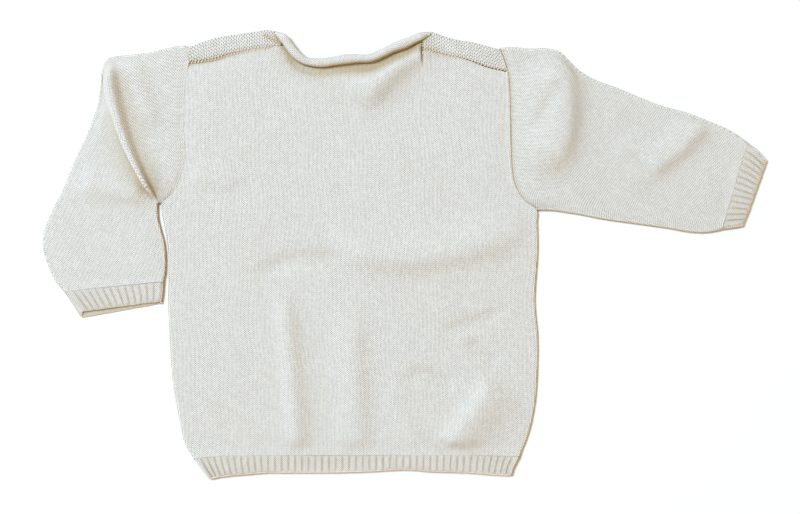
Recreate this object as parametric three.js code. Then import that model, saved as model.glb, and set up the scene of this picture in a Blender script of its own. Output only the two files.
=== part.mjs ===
// A baby's cardigan in fine cream cotton, laid face down, with the left sleeve folded down beside the body.
// Millimetres. X runs to the right, Y towards the neck, and Z up from the surface that it lies on.
// Left and right are the wearer's, which are also the viewer's, because the back is up.
import * as THREE from "three";

// The cloth and its layers
const WALL = 1.5; // one thickness of knitting
const SEAM = 0.3; // between two pieces that are sewn together
const ARMHOLE_GAP = 0.85; // the same round the curved armholes
const LAYER = 0.3; // between two layers that lie on each other
const UNDER = WALL / 2; // middle of the wall that rests
const OVER = UNDER + WALL + LAYER; // middle of the wall that lies on it
const TURN = (OVER - UNDER) / 2; // radius of a fold, at the middle of its wall
const FOLD_CENTRE = (OVER + UNDER) / 2; // height of a fold's centre
const FOLD_REACH = TURN + WALL / 2; // from a fold's centre to its outline

// The body
const CENTRE = -37; // centre back and centre front
const UNDERARM = 34; // the side seam ends here
const SIDE_TURN = 80; // degrees that a side edge turns towards the other layer
const SIDE_FADE = 12; // over this height the turn grows from nothing
const EDGE_FADE = 14; // creases die away this far from a panel's edge

// The hem and the cuffs
const RIB_HEIGHT = 0.7;
const HEM_RIBS = 48;
const CUFF_RIBS = 13;

// The neck and the front opening
const ROLL_WIDTH = 2.25; // half width of the rolled edge, at the middle of its wall
const ROLL_DEPTH = 1.55; // half height of the same
const ROLL_LIFT = WALL + LAYER + ROLL_DEPTH + WALL / 2; // its centre above the surface
const ROLL_START = 215; // degrees: the roll leaves the panel's edge here
const ROLL_END = 545; // and curls round to here
const ROLL_STEPS = 10;
const NECK_DEPTH = 54; // from the neck point down to the front neck
const NECK_HALF = 49.6; // half the width of the neck
const BAND_WIDTH = 14; // each front band
const NECKBAND_WIDTH = 7; // the neckband on the fronts

const CREAM = "#e9e6da";
const RIB_CREAM = "#ebe8dd";
const degrees = Math.PI / 180;

// The body's left edge, from the hem's corner up the side and round the armhole to the shoulder
const leftEdge = [
  { y: -156, x: -137 },
  { y: -150, x: -142 },
  { y: -143, x: -147 },
  { y: -136, x: -152 },
  { y: -129, x: -155 },
  { y: -115, x: -158 },
  { y: -94, x: -162 },
  { y: -59, x: -165 },
  { y: -31, x: -165.8 },
  { y: 0, x: -165.6 },
  { y: 15, x: -167.4 },
  { y: 28, x: -169.8 },
  { y: 36, x: -170.6 },
  { y: 42, x: -164.3 },
  { y: 48, x: -160.2 },
  { y: 56, x: -157 },
  { y: 70, x: -154 },
  { y: 89, x: -155 },
  { y: 120, x: -154 },
  { y: 137, x: -151 },
  { y: 147, x: -149.8 },
];

// The body's right edge, the same way
const rightEdge = [
  { y: -154, x: 75 },
  { y: -150, x: 75.6 },
  { y: -143, x: 79 },
  { y: -136, x: 82 },
  { y: -129, x: 85 },
  { y: -115, x: 89 },
  { y: -94, x: 92 },
  { y: -59, x: 93 },
  { y: -31, x: 91 },
  { y: 4, x: 93 },
  { y: 24, x: 92.6 },
  { y: 32.5, x: 91.6 },
  { y: 37.5, x: 84.5 },
  { y: 44, x: 79.2 },
  { y: 52, x: 75.8 },
  { y: 65, x: 74.2 },
  { y: 93, x: 73.5 },
  { y: 126, x: 72.1 },
  { y: 137, x: 69.5 },
  { y: 145, x: 66 },
];

// Where the panels end and the ribs begin
const hemTop = [
  { x: -146, y: -141.8 },
  { x: -120, y: -140.2 },
  { x: -37, y: -139.7 },
  { x: 50, y: -139.9 },
  { x: 80, y: -140.6 },
];

// The lower edge of the ribs
const hemBottom = [
  { x: -137, y: -155.9 },
  { x: -125, y: -154.4 },
  { x: -108, y: -153 },
  { x: -92, y: -151.7 },
  { x: -50, y: -151.5 },
  { x: -24, y: -150.8 },
  { x: 0, y: -149.5 },
  { x: 18, y: -150.8 },
  { x: 43, y: -151.6 },
  { x: 60, y: -153 },
  { x: 75, y: -153.6 },
];

// The middle of the rolled neck edge
const neckRoll = [
  { x: -83.8, y: 150.4 },
  { x: -81, y: 146.4 },
  { x: -77, y: 141.4 },
  { x: -72, y: 137.2 },
  { x: -66.5, y: 135.1 },
  { x: -58, y: 134.6 },
  { x: -50, y: 135.6 },
  { x: -41, y: 137 },
  { x: -33, y: 137.5 },
  { x: -24.5, y: 137.7 },
  { x: -16, y: 141 },
  { x: -8, y: 145 },
  { x: 1, y: 148.4 },
  { x: 10.4, y: 152.6 },
];

// The top fold of each shoulder and the seam behind it, from the armhole to the neck
const leftShoulder = [
  { x: -151, fold: 146.2, seam: 136.2 },
  { x: -143, fold: 149.6, seam: 136.9 },
  { x: -134, fold: 152.3, seam: 138.4 },
  { x: -125, fold: 153.9, seam: 141 },
  { x: -115, fold: 155.2, seam: 143.5 },
  { x: -104, fold: 157, seam: 145.3 },
  { x: -96, fold: 157.8, seam: 146 },
  { x: CENTRE - NECK_HALF, fold: 156, seam: 146.6 },
];
const rightShoulder = [
  { x: CENTRE + NECK_HALF, fold: 156, seam: 142.6 },
  { x: 19, fold: 156.6, seam: 143.2 },
  { x: 27, fold: 153.7, seam: 141.4 },
  { x: 38, fold: 150.8, seam: 139 },
  { x: 48, fold: 149.4, seam: 135.6 },
  { x: 58, fold: 146.8, seam: 131.6 },
  { x: 72, fold: 143.2, seam: 128.4 },
];

// Soft creases of the back: a line from, over and to, how far each side slopes, and how high it stands.
// Looking along the line, left and right are the two slopes.
const backCreases = [
  { from: [22, 160], over: [-6, 135], to: [-36, 102], left: 9, right: 16, height: 4 },
  { from: [-60, 10], over: [8, -19], to: [98, 24], left: 17, right: 9, height: 2.8 },
  { from: [-87, -18], over: [-80, -80], to: [-73, -165], left: 8, right: 7, height: 3 },
  { from: [-38, -30], over: [-35, -95], to: [-32, -165], left: 8, right: 14, height: 2 },
  { from: [30, -135], over: [47, -116], to: [66, -84], left: 10, right: 16, height: 3.8 },
  { from: [-170, 54], over: [-146, 58], to: [-110, 50], left: 14, right: 7, height: 1.4 },
];

// The stretched sleeve: upper edge, lower edge, and how much of the armhole's curve each ring keeps
const straightSleeve = [
  { a: [66.7, 145.4], b: [92.6, 31.4], curve: 1 },
  { a: [76, 146], b: [98, 31.6], curve: 0.7 },
  { a: [87, 145], b: [105, 31.2], curve: 0.4 },
  { a: [99, 145.2], b: [113, 30], curve: 0.15 },
  { a: [108.5, 142.6], b: [121, 28.8], curve: 0 },
  { a: [115, 136.6], b: [128, 27.4], curve: 0 },
  { a: [122, 129.8], b: [136, 25.8], curve: 0 },
  { a: [133, 123.2], b: [146, 24.2], curve: 0 },
  { a: [147, 118], b: [158, 22.6], curve: 0 },
  { a: [163, 111.4], b: [171, 20.8], curve: 0 },
  { a: [180, 104.8], b: [185, 18.8], curve: 0 },
  { a: [197, 100.2], b: [197, 16.6], curve: 0 },
  { a: [213, 94], b: [208, 15.8], curve: 0 },
  { a: [228, 87.4], b: [216, 16.6], curve: 0 },
  { a: [240, 79.4], b: [222.4, 18], curve: 0 },
];
const straightCreases = [
  { from: [104, 148], over: [125, 100], to: [98, 50], left: 8.5, right: 24, height: 5 },
  { from: [216, 102], over: [188, 64], to: [166, 60], left: 6, right: 12, height: 2.8 },
  { from: [150, 84], over: [165, 68], to: [172, 44], left: 14, right: 14, height: 1.2 },
];

// The folded sleeve. Its first rings fan round the slit at the underarm: the upper edge, the angle in the
// fan, the bow of the ring, and its lift, which is highest along the fold.
const FAN_CENTRE = [-172.2, 35.3];
const FAN_RADIUS = 0.9;
const foldedFan = [
  { a: [-150.3, 146.9], fan: 37, curve: 1, bow: 0, lift: 0 },
  { a: [-158, 146.9], fan: 58, curve: 0.75, bow: 0, lift: 0 },
  { a: [-168, 144.9], fan: 76, curve: 0.45, bow: 0, lift: 0 },
  { a: [-180, 142.1], fan: 90, curve: 0.2, bow: 0, lift: 0 },
  { a: [-192, 140.6], fan: 99, curve: 0, bow: -1, lift: 0 },
  { a: [-201, 139.8], fan: 105, curve: 0, bow: -4.5, lift: 1.2 },
  { a: [-206.6, 138.6], fan: 109, curve: 0, bow: -6.6, lift: 4.4 },
  { a: [-208.8, 137.4], fan: 112, curve: 0, bow: -7.4, lift: 5.4 },
  { a: [-210.6, 135], fan: 116, curve: 0, bow: -7.6, lift: 5.2 },
  { a: [-212.6, 129], fan: 121, curve: 0, bow: -6.8, lift: 4 },
  { a: [-213.4, 119], fan: 127, curve: 0, bow: -5, lift: 2.6 },
  { a: [-215, 107.5], fan: 134, curve: 0, bow: -3, lift: 1.4 },
  { a: [-219.4, 93.5], fan: 142, curve: 0, bow: -1, lift: 0.8 },
  { a: [-226.4, 77], fan: 151, curve: 0, bow: 0, lift: 0.3 },
];
const foldedReach = [
  { a: [-233.6, 62], b: [-173, 32] },
  { a: [-239.6, 46.5], b: [-172.6, 26] },
  { a: [-247.4, 31], b: [-171, 19] },
  { a: [-253.2, 16], b: [-168.8, 11] },
  { a: [-253.4, 3], b: [-167.6, 3] },
  { a: [-250, -7.4], b: [-167.3, -5] },
  { a: [-245.6, -17], b: [-167.6, -12] },
  { a: [-238.4, -26], b: [-168.6, -18.4] },
];
const foldedCreases = [
  { from: [-232, 52], over: [-212, 44], to: [-192, 42], left: 12, right: 8, height: 2 },
  { from: [-196, 146], over: [-188, 120], to: [-174, 84], left: 7, right: 9, height: 1.6 },
];

// The cuffs: their rings, and how much further the cloth that rests reaches at the mouth
const STILL = { a: [0, 0], b: [0, 0] };
const foldedCuff = {
  rings: [
    { a: [-238, -26.5], b: [-168.7, -18.9] },
    { a: [-232.4, -33.4], b: [-169, -25.6] },
    { a: [-226.8, -39.8], b: [-169.8, -32] },
  ],
  mouth: { a: [-0.6, -4.2], b: [-0.8, -1.5] },
};
const straightCuff = {
  rings: [
    { a: [240.6, 78.9], b: [223, 18.2] },
    { a: [247.4, 73.6], b: [230, 19] },
    { a: [253.6, 67], b: [236.9, 20.2] },
  ],
  mouth: STILL,
};

// Rows and columns of the panels, as shares of their height and width
const BACK_ROWS = [
  0, 0.035, 0.075, 0.12, 0.17, 0.22, 0.27, 0.32, 0.37, 0.42, 0.47, 0.52, 0.57, 0.605, 0.636, 0.66,
  0.685, 0.715, 0.755, 0.8, 0.84, 0.88, 0.92, 0.96, 1,
];
const FRONT_ROWS = [
  0, 0.04, 0.09, 0.17, 0.3, 0.44, 0.54, 0.58, 0.615, 0.638, 0.66, 0.69, 0.73, 0.77,
];
const NECK_ROWS = 9;
const SHOULDER_COLUMNS = 6;
const TOP_BEND = 8; // the higher, the later a panel's rows bend towards its upper line
const ARMHOLE_STEPS = [0, 0.06, 0.13, 0.22, 0.34, 0.46, 0.58, 0.68, 0.76, 0.82, 0.87, 0.91, 0.955, 1];
const UNDER_STEPS = [1, 0.955, 0.91, 0.85, 0.76, 0.6, 0.35, 0.13, 0.06, 0];

const clamp = THREE.MathUtils.clamp;
const mix = THREE.MathUtils.lerp;
const smooth = (share) => THREE.MathUtils.smoothstep(share, 0, 1);
const flat = () => 0;

// Even shares from 0 to 1.
function steps(count) {
  return Array.from({ length: count + 1 }, (_, i) => i / count);
}

// Reads a table: the value of one column where another has the value at, on a smooth curve through the rows.
function read(table, key, column, at) {
  const last = table.length - 1;
  const above = table.findIndex((row) => row[key] >= at);
  const i = above < 0 ? last - 1 : clamp(above - 1, 0, last - 1);
  const slope = (j) => {
    const before = table[Math.max(j - 1, 0)];
    const after = table[Math.min(j + 1, last)];
    return (after[column] - before[column]) / (after[key] - before[key]);
  };
  const span = table[i + 1][key] - table[i][key];
  const t = clamp((at - table[i][key]) / span, 0, 1);
  const start = table[i][column] * (1 + 2 * t) * (1 - t) ** 2 + slope(i) * span * t * (1 - t) ** 2;
  const end = table[i + 1][column] * t * t * (3 - 2 * t) - slope(i + 1) * span * t * t * (1 - t);
  return start + end;
}

const leftX = (y) => read(leftEdge, "y", "x", y);
const rightX = (y) => read(rightEdge, "y", "x", y);

// How high the creases lift the cloth at a place.
function creaseHeight(creases, x, y) {
  let height = 0;
  for (const crease of creases) {
    const [from, over, to] = [crease.from, crease.over, crease.to];
    let nearest = { distance: Infinity, side: 1, share: 0 };
    for (const t of steps(24)) {
      const px = (1 - t) ** 2 * from[0] + 2 * t * (1 - t) * over[0] + t * t * to[0];
      const py = (1 - t) ** 2 * from[1] + 2 * t * (1 - t) * over[1] + t * t * to[1];
      const dx = mix(over[0] - from[0], to[0] - over[0], t);
      const dy = mix(over[1] - from[1], to[1] - over[1], t);
      const distance = Math.hypot(x - px, y - py);
      const side = dx * (y - py) - dy * (x - px);
      if (distance < nearest.distance) nearest = { distance, side, share: t };
    }
    const width = nearest.side > 0 ? crease.left : crease.right;
    const fade = smooth(Math.min(nearest.share, 1 - nearest.share) / 0.25);
    height += crease.height * fade * Math.exp(-((nearest.distance / width) ** 2));
  }
  return height;
}

// A wall of cloth round a grid of points at its middle. A ring's last column joins its first.
// Relief moves a point of the outer face out, and the inner face stays plain. Limits hold a row's heights.
function wall(grid, { ring = false, relief = flat, limits = () => [0, Infinity] } = {}) {
  const rows = grid.length;
  const columns = grid[0].length;
  const point = (r, c) => {
    const column = ring ? (c + columns) % columns : clamp(c, 0, columns - 1);
    return grid[clamp(r, 0, rows - 1)][column];
  };
  const direction = (before, here, after) => {
    const one = new THREE.Vector3().subVectors(here, before).normalize();
    const two = new THREE.Vector3().subVectors(after, here).normalize();
    return one.add(two);
  };
  const outer = [];
  const inner = [];
  const held = (p, r) => p.setZ(clamp(p.z, ...limits(r)));
  for (let r = 0; r < rows; r++) {
    for (let c = 0; c < columns; c++) {
      const here = point(r, c);
      const across = direction(point(r, c - 1), here, point(r, c + 1));
      const along = direction(point(r - 1, c), here, point(r + 1, c));
      const normal = across.cross(along).normalize();
      outer.push(held(here.clone().addScaledVector(normal, WALL / 2 + relief(r, c)), r));
      inner.push(held(here.clone().addScaledVector(normal, -WALL / 2), r));
    }
  }
  const positions = [...outer, ...inner].flatMap((p) => [p.x, p.y, p.z]);
  const index = [];
  const skin = rows * columns;
  const at = (r, c) => r * columns + (c % columns);
  const quad = (a, b, c, d) => index.push(a, b, c, a, c, d);
  const wide = ring ? columns : columns - 1;
  for (let c = 0; c < wide; c++) {
    for (let r = 0; r < rows - 1; r++) {
      quad(at(r, c), at(r, c + 1), at(r + 1, c + 1), at(r + 1, c));
      quad(skin + at(r + 1, c), skin + at(r + 1, c + 1), skin + at(r, c + 1), skin + at(r, c));
    }
    quad(at(0, c + 1), at(0, c), skin + at(0, c), skin + at(0, c + 1));
    const r = rows - 1;
    quad(at(r, c), at(r, c + 1), skin + at(r, c + 1), skin + at(r, c));
  }
  for (let r = 0; r < rows - 1 && !ring; r++) {
    const c = columns - 1;
    quad(at(r, 0), at(r + 1, 0), skin + at(r + 1, 0), skin + at(r, 0));
    quad(at(r + 1, c), at(r, c), skin + at(r, c), skin + at(r + 1, c));
  }
  const geometry = new THREE.BufferGeometry();
  geometry.setAttribute("position", new THREE.Float32BufferAttribute(positions, 3));
  geometry.setIndex(index);
  geometry.computeVertexNormals();
  return geometry;
}

// The points past a panel's side, from its inner end to its outline. They bend towards the other layer.
function sideTurn(x, y, height, outwards, upwards, amount) {
  const bend = Math.max(amount, 0.001) / TURN;
  const full = TURN * SIDE_TURN * degrees;
  const length = full * mix(FOLD_REACH / full, 1, amount);
  const start = x - outwards * FOLD_REACH;
  return steps(3).map((share) => {
    const angle = bend * length * share;
    const reach = Math.sin(angle) / bend;
    const rise = (1 - Math.cos(angle)) / bend;
    return new THREE.Vector3(start + outwards * reach, y, height + upwards * rise);
  });
}

// A panel between two side edges, a lower line and an upper line. Its side seams turn up or down.
function panel({ columns, rows, lower, upper, left, right, height, upwards, lift = flat, seams }) {
  return rows.map((v) => {
    const yLeft = mix(lower(0), upper(0), v);
    const yRight = mix(lower(1), upper(1), v);
    const turned = (y) => smooth((UNDERARM - y) / SIDE_FADE);
    const ends = { left: left(yLeft), right: right(yRight) };
    const start = ends.left + (seams.left ? FOLD_REACH : 0);
    const end = ends.right - (seams.right ? FOLD_REACH : 0);
    const between = columns.map((u) => {
      const x = mix(start, end, u);
      const straight = mix(upper(0), upper(1), u);
      const y = mix(lower(u), straight, v) + (upper(u) - straight) * v ** TOP_BEND;
      return new THREE.Vector3(x, y, height + lift(x, y, u, v));
    });
    if (seams.left) {
      const turn = sideTurn(ends.left, yLeft, height, -1, upwards, turned(yLeft));
      between.splice(0, 1, ...turn.reverse());
    }
    if (seams.right) {
      const turn = sideTurn(ends.right, yRight, height, 1, upwards, turned(yRight));
      between.splice(-1, 1, ...turn);
    }
    return between;
  });
}

// The two layers stay apart: one ends below the gap between them, and the other above it.
const underTheBack = () => [0, WALL];
const aboveTheFronts = () => [WALL + LAYER, Infinity];

// The back's upper edge: shoulder seam, neckline inside the roll, shoulder seam.
function backTop(x) {
  const neck = { left: leftShoulder.at(-1).x, right: rightShoulder[0].x - SEAM };
  if (x <= neck.left) return read(leftShoulder, "x", "seam", x);
  if (x >= neck.right) return read(rightShoulder, "x", "seam", x);
  const at = clamp(x, neckRoll[0].x, neckRoll.at(-1).x);
  const slope = read(neckRoll, "x", "y", at + 0.5) - read(neckRoll, "x", "y", at - 0.5);
  const inset = (ROLL_WIDTH + WALL / 2 + SEAM) * Math.hypot(1, clamp(slope, -1.4, 1.4));
  return read(neckRoll, "x", "y", at) - inset;
}

// Columns of the back, so that two of them run up to the neck's corners.
function backColumns() {
  const left = leftShoulder[0].x;
  const width = rightShoulder.at(-1).x - left;
  const corners = [leftShoulder.at(-1).x + 1.2, neckRoll.at(-1).x + 0.8, rightShoulder[0].x - SEAM].map(
    (x) => (x - left) / width,
  );
  const shoulder = steps(SHOULDER_COLUMNS).map((t) => mix(0, corners[0], t));
  const neck = steps(12).map((t) => mix(corners[0], corners[1], t));
  const far = steps(SHOULDER_COLUMNS).map((t) => mix(corners[2], 1, t));
  return [...shoulder, ...neck.slice(1), ...far];
}

// Creases fade out towards a panel's edges, where it meets its neighbours at one height.
function faded(creases, width, length) {
  return (x, y, u, v) => {
    const inside = Math.min(u * width, (1 - u) * width, v * length, (1 - v) * length);
    return creaseHeight(creases, x, y) * smooth(inside / EDGE_FADE);
  };
}

function back() {
  const left = leftShoulder[0].x;
  const right = rightShoulder.at(-1).x;
  const low = { left: hemTop[0].x, right: hemTop.at(-1).x };
  const grid = panel({
    columns: backColumns(),
    rows: BACK_ROWS,
    lower: (u) => read(hemTop, "x", "y", mix(low.left, low.right, u)),
    upper: (u) => backTop(mix(left, right, u)),
    left: leftX,
    right: rightX,
    height: OVER,
    upwards: -1,
    lift: faded(backCreases, right - left, backTop(CENTRE) - hemTop[0].y),
    seams: { left: true, right: true },
  });
  return wall(grid, { limits: aboveTheFronts });
}

// The inner edge of a front: the opening, then the neck's quarter ellipse.
function frontInner(side, top) {
  const opening = CENTRE + side * (BAND_WIDTH + 1.5 * SEAM);
  const neckPoint = CENTRE + side * NECK_HALF;
  return (y) => {
    const down = clamp((top - y) / NECK_DEPTH, 0, 1);
    return mix(opening, neckPoint, Math.sqrt(1 - down * down));
  };
}

// A front: the layer that rests, the fold over the shoulder, and the strip down to the shoulder seam.
// Side is -1 on the left and 1 on the right.
function front(side) {
  const shoulder = side < 0 ? leftShoulder : [...rightShoulder].reverse();
  const edge = side < 0 ? leftX : rightX;
  const armhole = edge(shoulder[0].fold);
  const neck = shoulder.at(-1).x;
  const sorted = side < 0 ? leftShoulder : rightShoulder;
  const foldAt = (x) => read(sorted, "x", "fold", x);
  const seamAt = (x) => read(sorted, "x", "seam", x) + SEAM;
  const top = foldAt(neck) - FOLD_REACH;
  const inner = frontInner(side, top);
  const outward = (u) => (side < 0 ? u : 1 - u);
  const widthAt = (u) => mix(armhole, neck, outward(u));
  const hemAt = (u) => {
    const low = side < 0 ? hemTop[0].x : hemTop.at(-1).x;
    return read(hemTop, "x", "y", mix(low, CENTRE, outward(u)));
  };
  const tall = top - hemAt(side < 0 ? 1 : 0);
  const neckRows = steps(NECK_ROWS).map((t) => 1 - (NECK_DEPTH * Math.cos(t * Math.PI * 0.5)) / tall);
  const resting = panel({
    columns: steps(SHOULDER_COLUMNS),
    rows: [...FRONT_ROWS, ...neckRows],
    lower: hemAt,
    upper: (u) => foldAt(widthAt(u)) - FOLD_REACH,
    left: side < 0 ? edge : inner,
    right: side < 0 ? inner : edge,
    height: UNDER,
    upwards: 1,
    seams: { left: side < 0, right: side > 0 },
  });
  const last = resting.at(-1);
  const folds = [-45, 0, 45, 90].map((angle) =>
    last.map((p) => {
      const reach = TURN * Math.cos(angle * degrees);
      const z = FOLD_CENTRE + TURN * Math.sin(angle * degrees);
      return new THREE.Vector3(p.x, p.y + reach, z);
    }),
  );
  const strip = [0.5, 1].map((share) =>
    last.map((p) => {
      const x = p.x + share * (edge(seamAt(p.x)) - armhole) * clamp((neck - p.x) / (neck - armhole), 0, 1);
      return new THREE.Vector3(x, mix(p.y, seamAt(x), share), OVER);
    }),
  );
  const limits = (r) => (r < resting.length - 1 ? underTheBack() : [0, Infinity]);
  return wall([...resting, ...folds, ...strip], { limits });
}

// The ribbed hem of the back: each rib has a valley and a two-stitch crest.
function hemBack() {
  const columns = steps(HEM_RIBS * 3);
  const low = { left: hemBottom[0].x, right: hemBottom.at(-1).x };
  const high = { left: hemTop[0].x, right: hemTop.at(-1).x };
  const grid = panel({
    columns,
    rows: [0, 1],
    lower: (u) => read(hemBottom, "x", "y", mix(low.left, low.right, u)),
    upper: (u) => read(hemTop, "x", "y", mix(high.left, high.right, u)) - SEAM,
    left: leftX,
    right: rightX,
    height: OVER,
    upwards: -1,
    seams: { left: true, right: true },
  });
  const turn = 3;
  const last = grid[0].length - 1;
  const relief = (r, c) => (c < turn || c > last - turn || c % 3 === 0 ? 0 : RIB_HEIGHT);
  return wall(grid, { relief, limits: aboveTheFronts });
}

// The hem of a front, on the layer that rests.
function hemFront(side) {
  const opening = CENTRE + side * (BAND_WIDTH + 1.5 * SEAM);
  const corner = side < 0 ? 0 : -1;
  const across = (table) => (u) => {
    const ends = side < 0 ? [table.at(corner).x, opening] : [opening, table.at(corner).x];
    return read(table, "x", "y", mix(ends[0], ends[1], u));
  };
  const upper = across(hemTop);
  const grid = panel({
    columns: steps(8),
    rows: [0, 1],
    lower: across(hemBottom),
    upper: (u) => upper(u) - SEAM,
    left: side < 0 ? leftX : () => opening,
    right: side < 0 ? () => opening : rightX,
    height: UNDER,
    upwards: 1,
    seams: { left: side < 0, right: side > 0 },
  });
  return wall(grid, { limits: underTheBack });
}

// One ring of a sleeve lying flat: over from the upper edge a to the lower edge b, round the fold, back
// under it, and round the other fold. Lift raises the cloth on top, and mouth moves the cloth that rests.
function flatRing({ line, outwards, lift = flat, mouth = STILL, over, under }) {
  const inset = (t) => {
    const p = line(t).addScaledVector(outwards.a, -FOLD_REACH * (1 - t));
    return p.addScaledVector(outwards.b, -FOLD_REACH * t);
  };
  const shifted = (p, t, share, z) => {
    const x = p.x + share * mix(mouth.a[0], mouth.b[0], t);
    const y = p.y + share * mix(mouth.a[1], mouth.b[1], t);
    return new THREE.Vector3(x, y, z);
  };
  const fold = (t, outward, angles) =>
    angles.map((angle) => {
      const p = inset(t).addScaledVector(outward, TURN * Math.cos(angle * degrees));
      const rise = TURN * Math.sin(angle * degrees);
      return shifted(p, t, (1 - Math.sin(angle * degrees)) / 2, FOLD_CENTRE + rise);
    });
  const raised = (t) => {
    const p = inset(t);
    return shifted(p, t, 0, OVER + lift(p, t));
  };
  return [
    ...over.map(raised),
    ...fold(1, outwards.b, [45, 0, -45]),
    ...under.map((t) => shifted(inset(t), t, 1, UNDER)),
    ...fold(0, outwards.a, [-45, 0, 45]),
  ];
}

// The directions out of a flat sleeve at both ends of one of its rings, square to the edges there.
function edgeDirections(stations, i) {
  const before = stations[Math.max(i - 1, 0)];
  const after = stations[Math.min(i + 1, stations.length - 1)];
  const across = new THREE.Vector2(...stations[i].b).sub(new THREE.Vector2(...stations[i].a));
  const square = (key, towards) => {
    const along = new THREE.Vector2(...after[key]).sub(new THREE.Vector2(...before[key])).normalize();
    const out = new THREE.Vector2(along.y, -along.x);
    return out.multiplyScalar(Math.sign(out.dot(across)) * towards);
  };
  return { a: square("a", -1), b: square("b", 1) };
}

// The line of a ring: straight from edge to edge, or bowed.
function ringLine({ a, b, bow = 0 }) {
  const start = new THREE.Vector2(...a);
  const end = new THREE.Vector2(...b);
  const sideways = new THREE.Vector2(end.y - start.y, start.x - end.x).normalize();
  return (t) => start.clone().lerp(end, t).addScaledVector(sideways, -4 * bow * t * (1 - t));
}

// Sleeve rings run from the armhole to the cuff, and the first ones keep a share of the armhole's curve.
// Lift is zero at both edges.
function sleeve(stations, edge, outwards, creases) {
  const length = stations.length - 1;
  const rings = stations.map((station, i) => {
    const along = Math.min(i, length - i) / 2;
    const lift = (p, t) => {
      const inside = smooth(Math.min(t, 1 - t) / 0.14);
      return ((station.lift ?? 0) + creaseHeight(creases, p.x, p.y) * smooth(along)) * inside;
    };
    const points = flatRing({
      line: ringLine(station),
      outwards: edgeDirections(stations, i),
      lift,
      over: ARMHOLE_STEPS,
      under: UNDER_STEPS,
    });
    return outwards > 0 ? points : points.reverse();
  });
  const toSeam = rings[0].map((p) => edge(p.y) + outwards * ARMHOLE_GAP - p.x);
  rings.forEach((ring, i) => ring.forEach((p, c) => (p.x += (stations[i].curve ?? 0) * toSeam[c])));
  return wall(rings, { ring: true });
}

function sleeveLeft() {
  const fanned = foldedFan.map((row) => {
    const x = FAN_CENTRE[0] + FAN_RADIUS * Math.cos(row.fan * degrees);
    const y = FAN_CENTRE[1] + FAN_RADIUS * Math.sin(row.fan * degrees);
    return { ...row, b: [x, y] };
  });
  return sleeve([...fanned, ...foldedReach], leftX, -1, foldedCreases);
}

function sleeveRight() {
  return sleeve(straightSleeve, rightX, 1, straightCreases);
}

// A ribbed cuff, with the ribs raised on the side that shows.
function cuff({ rings, mouth }, outwards) {
  const over = steps(CUFF_RIBS * 3);
  const under = [1, 0.5, 0];
  const grid = rings.map((ring, i) => {
    const open = i / (rings.length - 1);
    const points = flatRing({
      line: ringLine(ring),
      outwards: edgeDirections(rings, i),
      mouth: { a: mouth.a.map((v) => v * open), b: mouth.b.map((v) => v * open) },
      over,
      under,
    });
    return outwards > 0 ? points : points.reverse();
  });
  const raised = (i) => (i > 0 && i < over.length - 1 && i % 3 !== 0 ? RIB_HEIGHT : 0);
  const last = grid[0].length - 1;
  const relief = (r, c) => raised(outwards > 0 ? c : last - c);
  return wall(grid, { ring: true, relief });
}

// The rolled edge of the back neck: the knitting leaves the panel, turns up and curls back over itself.
function neckbandBack() {
  const path = new THREE.SplineCurve(neckRoll.map((row) => new THREE.Vector2(row.x, row.y)));
  const stations = steps(22).map((t) => ({ at: path.getPoint(t), along: path.getTangent(t) }));
  const grid = stations.map(({ at, along }) =>
    steps(ROLL_STEPS).map((share) => {
      const angle = mix(ROLL_START, ROLL_END, share) * degrees;
      const out = ROLL_WIDTH * Math.cos(angle);
      const z = ROLL_LIFT + ROLL_DEPTH * Math.sin(angle);
      return new THREE.Vector3(at.x - along.y * out, at.y + along.x * out, z);
    }),
  );
  return wall(grid);
}

// The neckband on a front: a flat strip inside the neck's quarter ellipse.
function neckbandFront(side) {
  const point = side < 0 ? leftShoulder.at(-1) : rightShoulder[0];
  const top = point.fold - FOLD_REACH;
  const opening = CENTRE + side * (BAND_WIDTH + 1.5 * SEAM);
  const reach = NECK_HALF - BAND_WIDTH - 1.5 * SEAM;
  const grid = steps(NECK_ROWS).map((share) => {
    const angle = share * Math.PI * 0.5;
    return [SEAM, NECKBAND_WIDTH].map((inset) => {
      const x = opening + side * (reach - inset) * Math.sin(angle);
      return new THREE.Vector3(x, top - (NECK_DEPTH - inset) * Math.cos(angle), UNDER);
    });
  });
  return wall(grid);
}

// A plain band down one side of the front opening.
function frontBand(side) {
  const near = CENTRE + (side * SEAM) / 2;
  const far = CENTRE + side * (BAND_WIDTH + SEAM / 2);
  const [left, right] = side < 0 ? [far, near] : [near, far];
  const point = side < 0 ? leftShoulder.at(-1) : rightShoulder[0];
  const top = point.fold - FOLD_REACH - NECK_DEPTH + NECKBAND_WIDTH;
  const grid = steps(6).map((v) =>
    steps(2).map((u) => {
      const x = mix(left, right, u);
      const bottom = read(hemBottom, "x", "y", x);
      return new THREE.Vector3(x, mix(bottom, top, v), UNDER);
    }),
  );
  return wall(grid);
}

function knitted(colour) {
  return new THREE.MeshStandardMaterial({ color: colour, roughness: 0.95, metalness: 0 });
}

function piece(name, geometry, colour) {
  const mesh = new THREE.Mesh(geometry, knitted(colour));
  mesh.name = name;
  return mesh;
}

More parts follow.
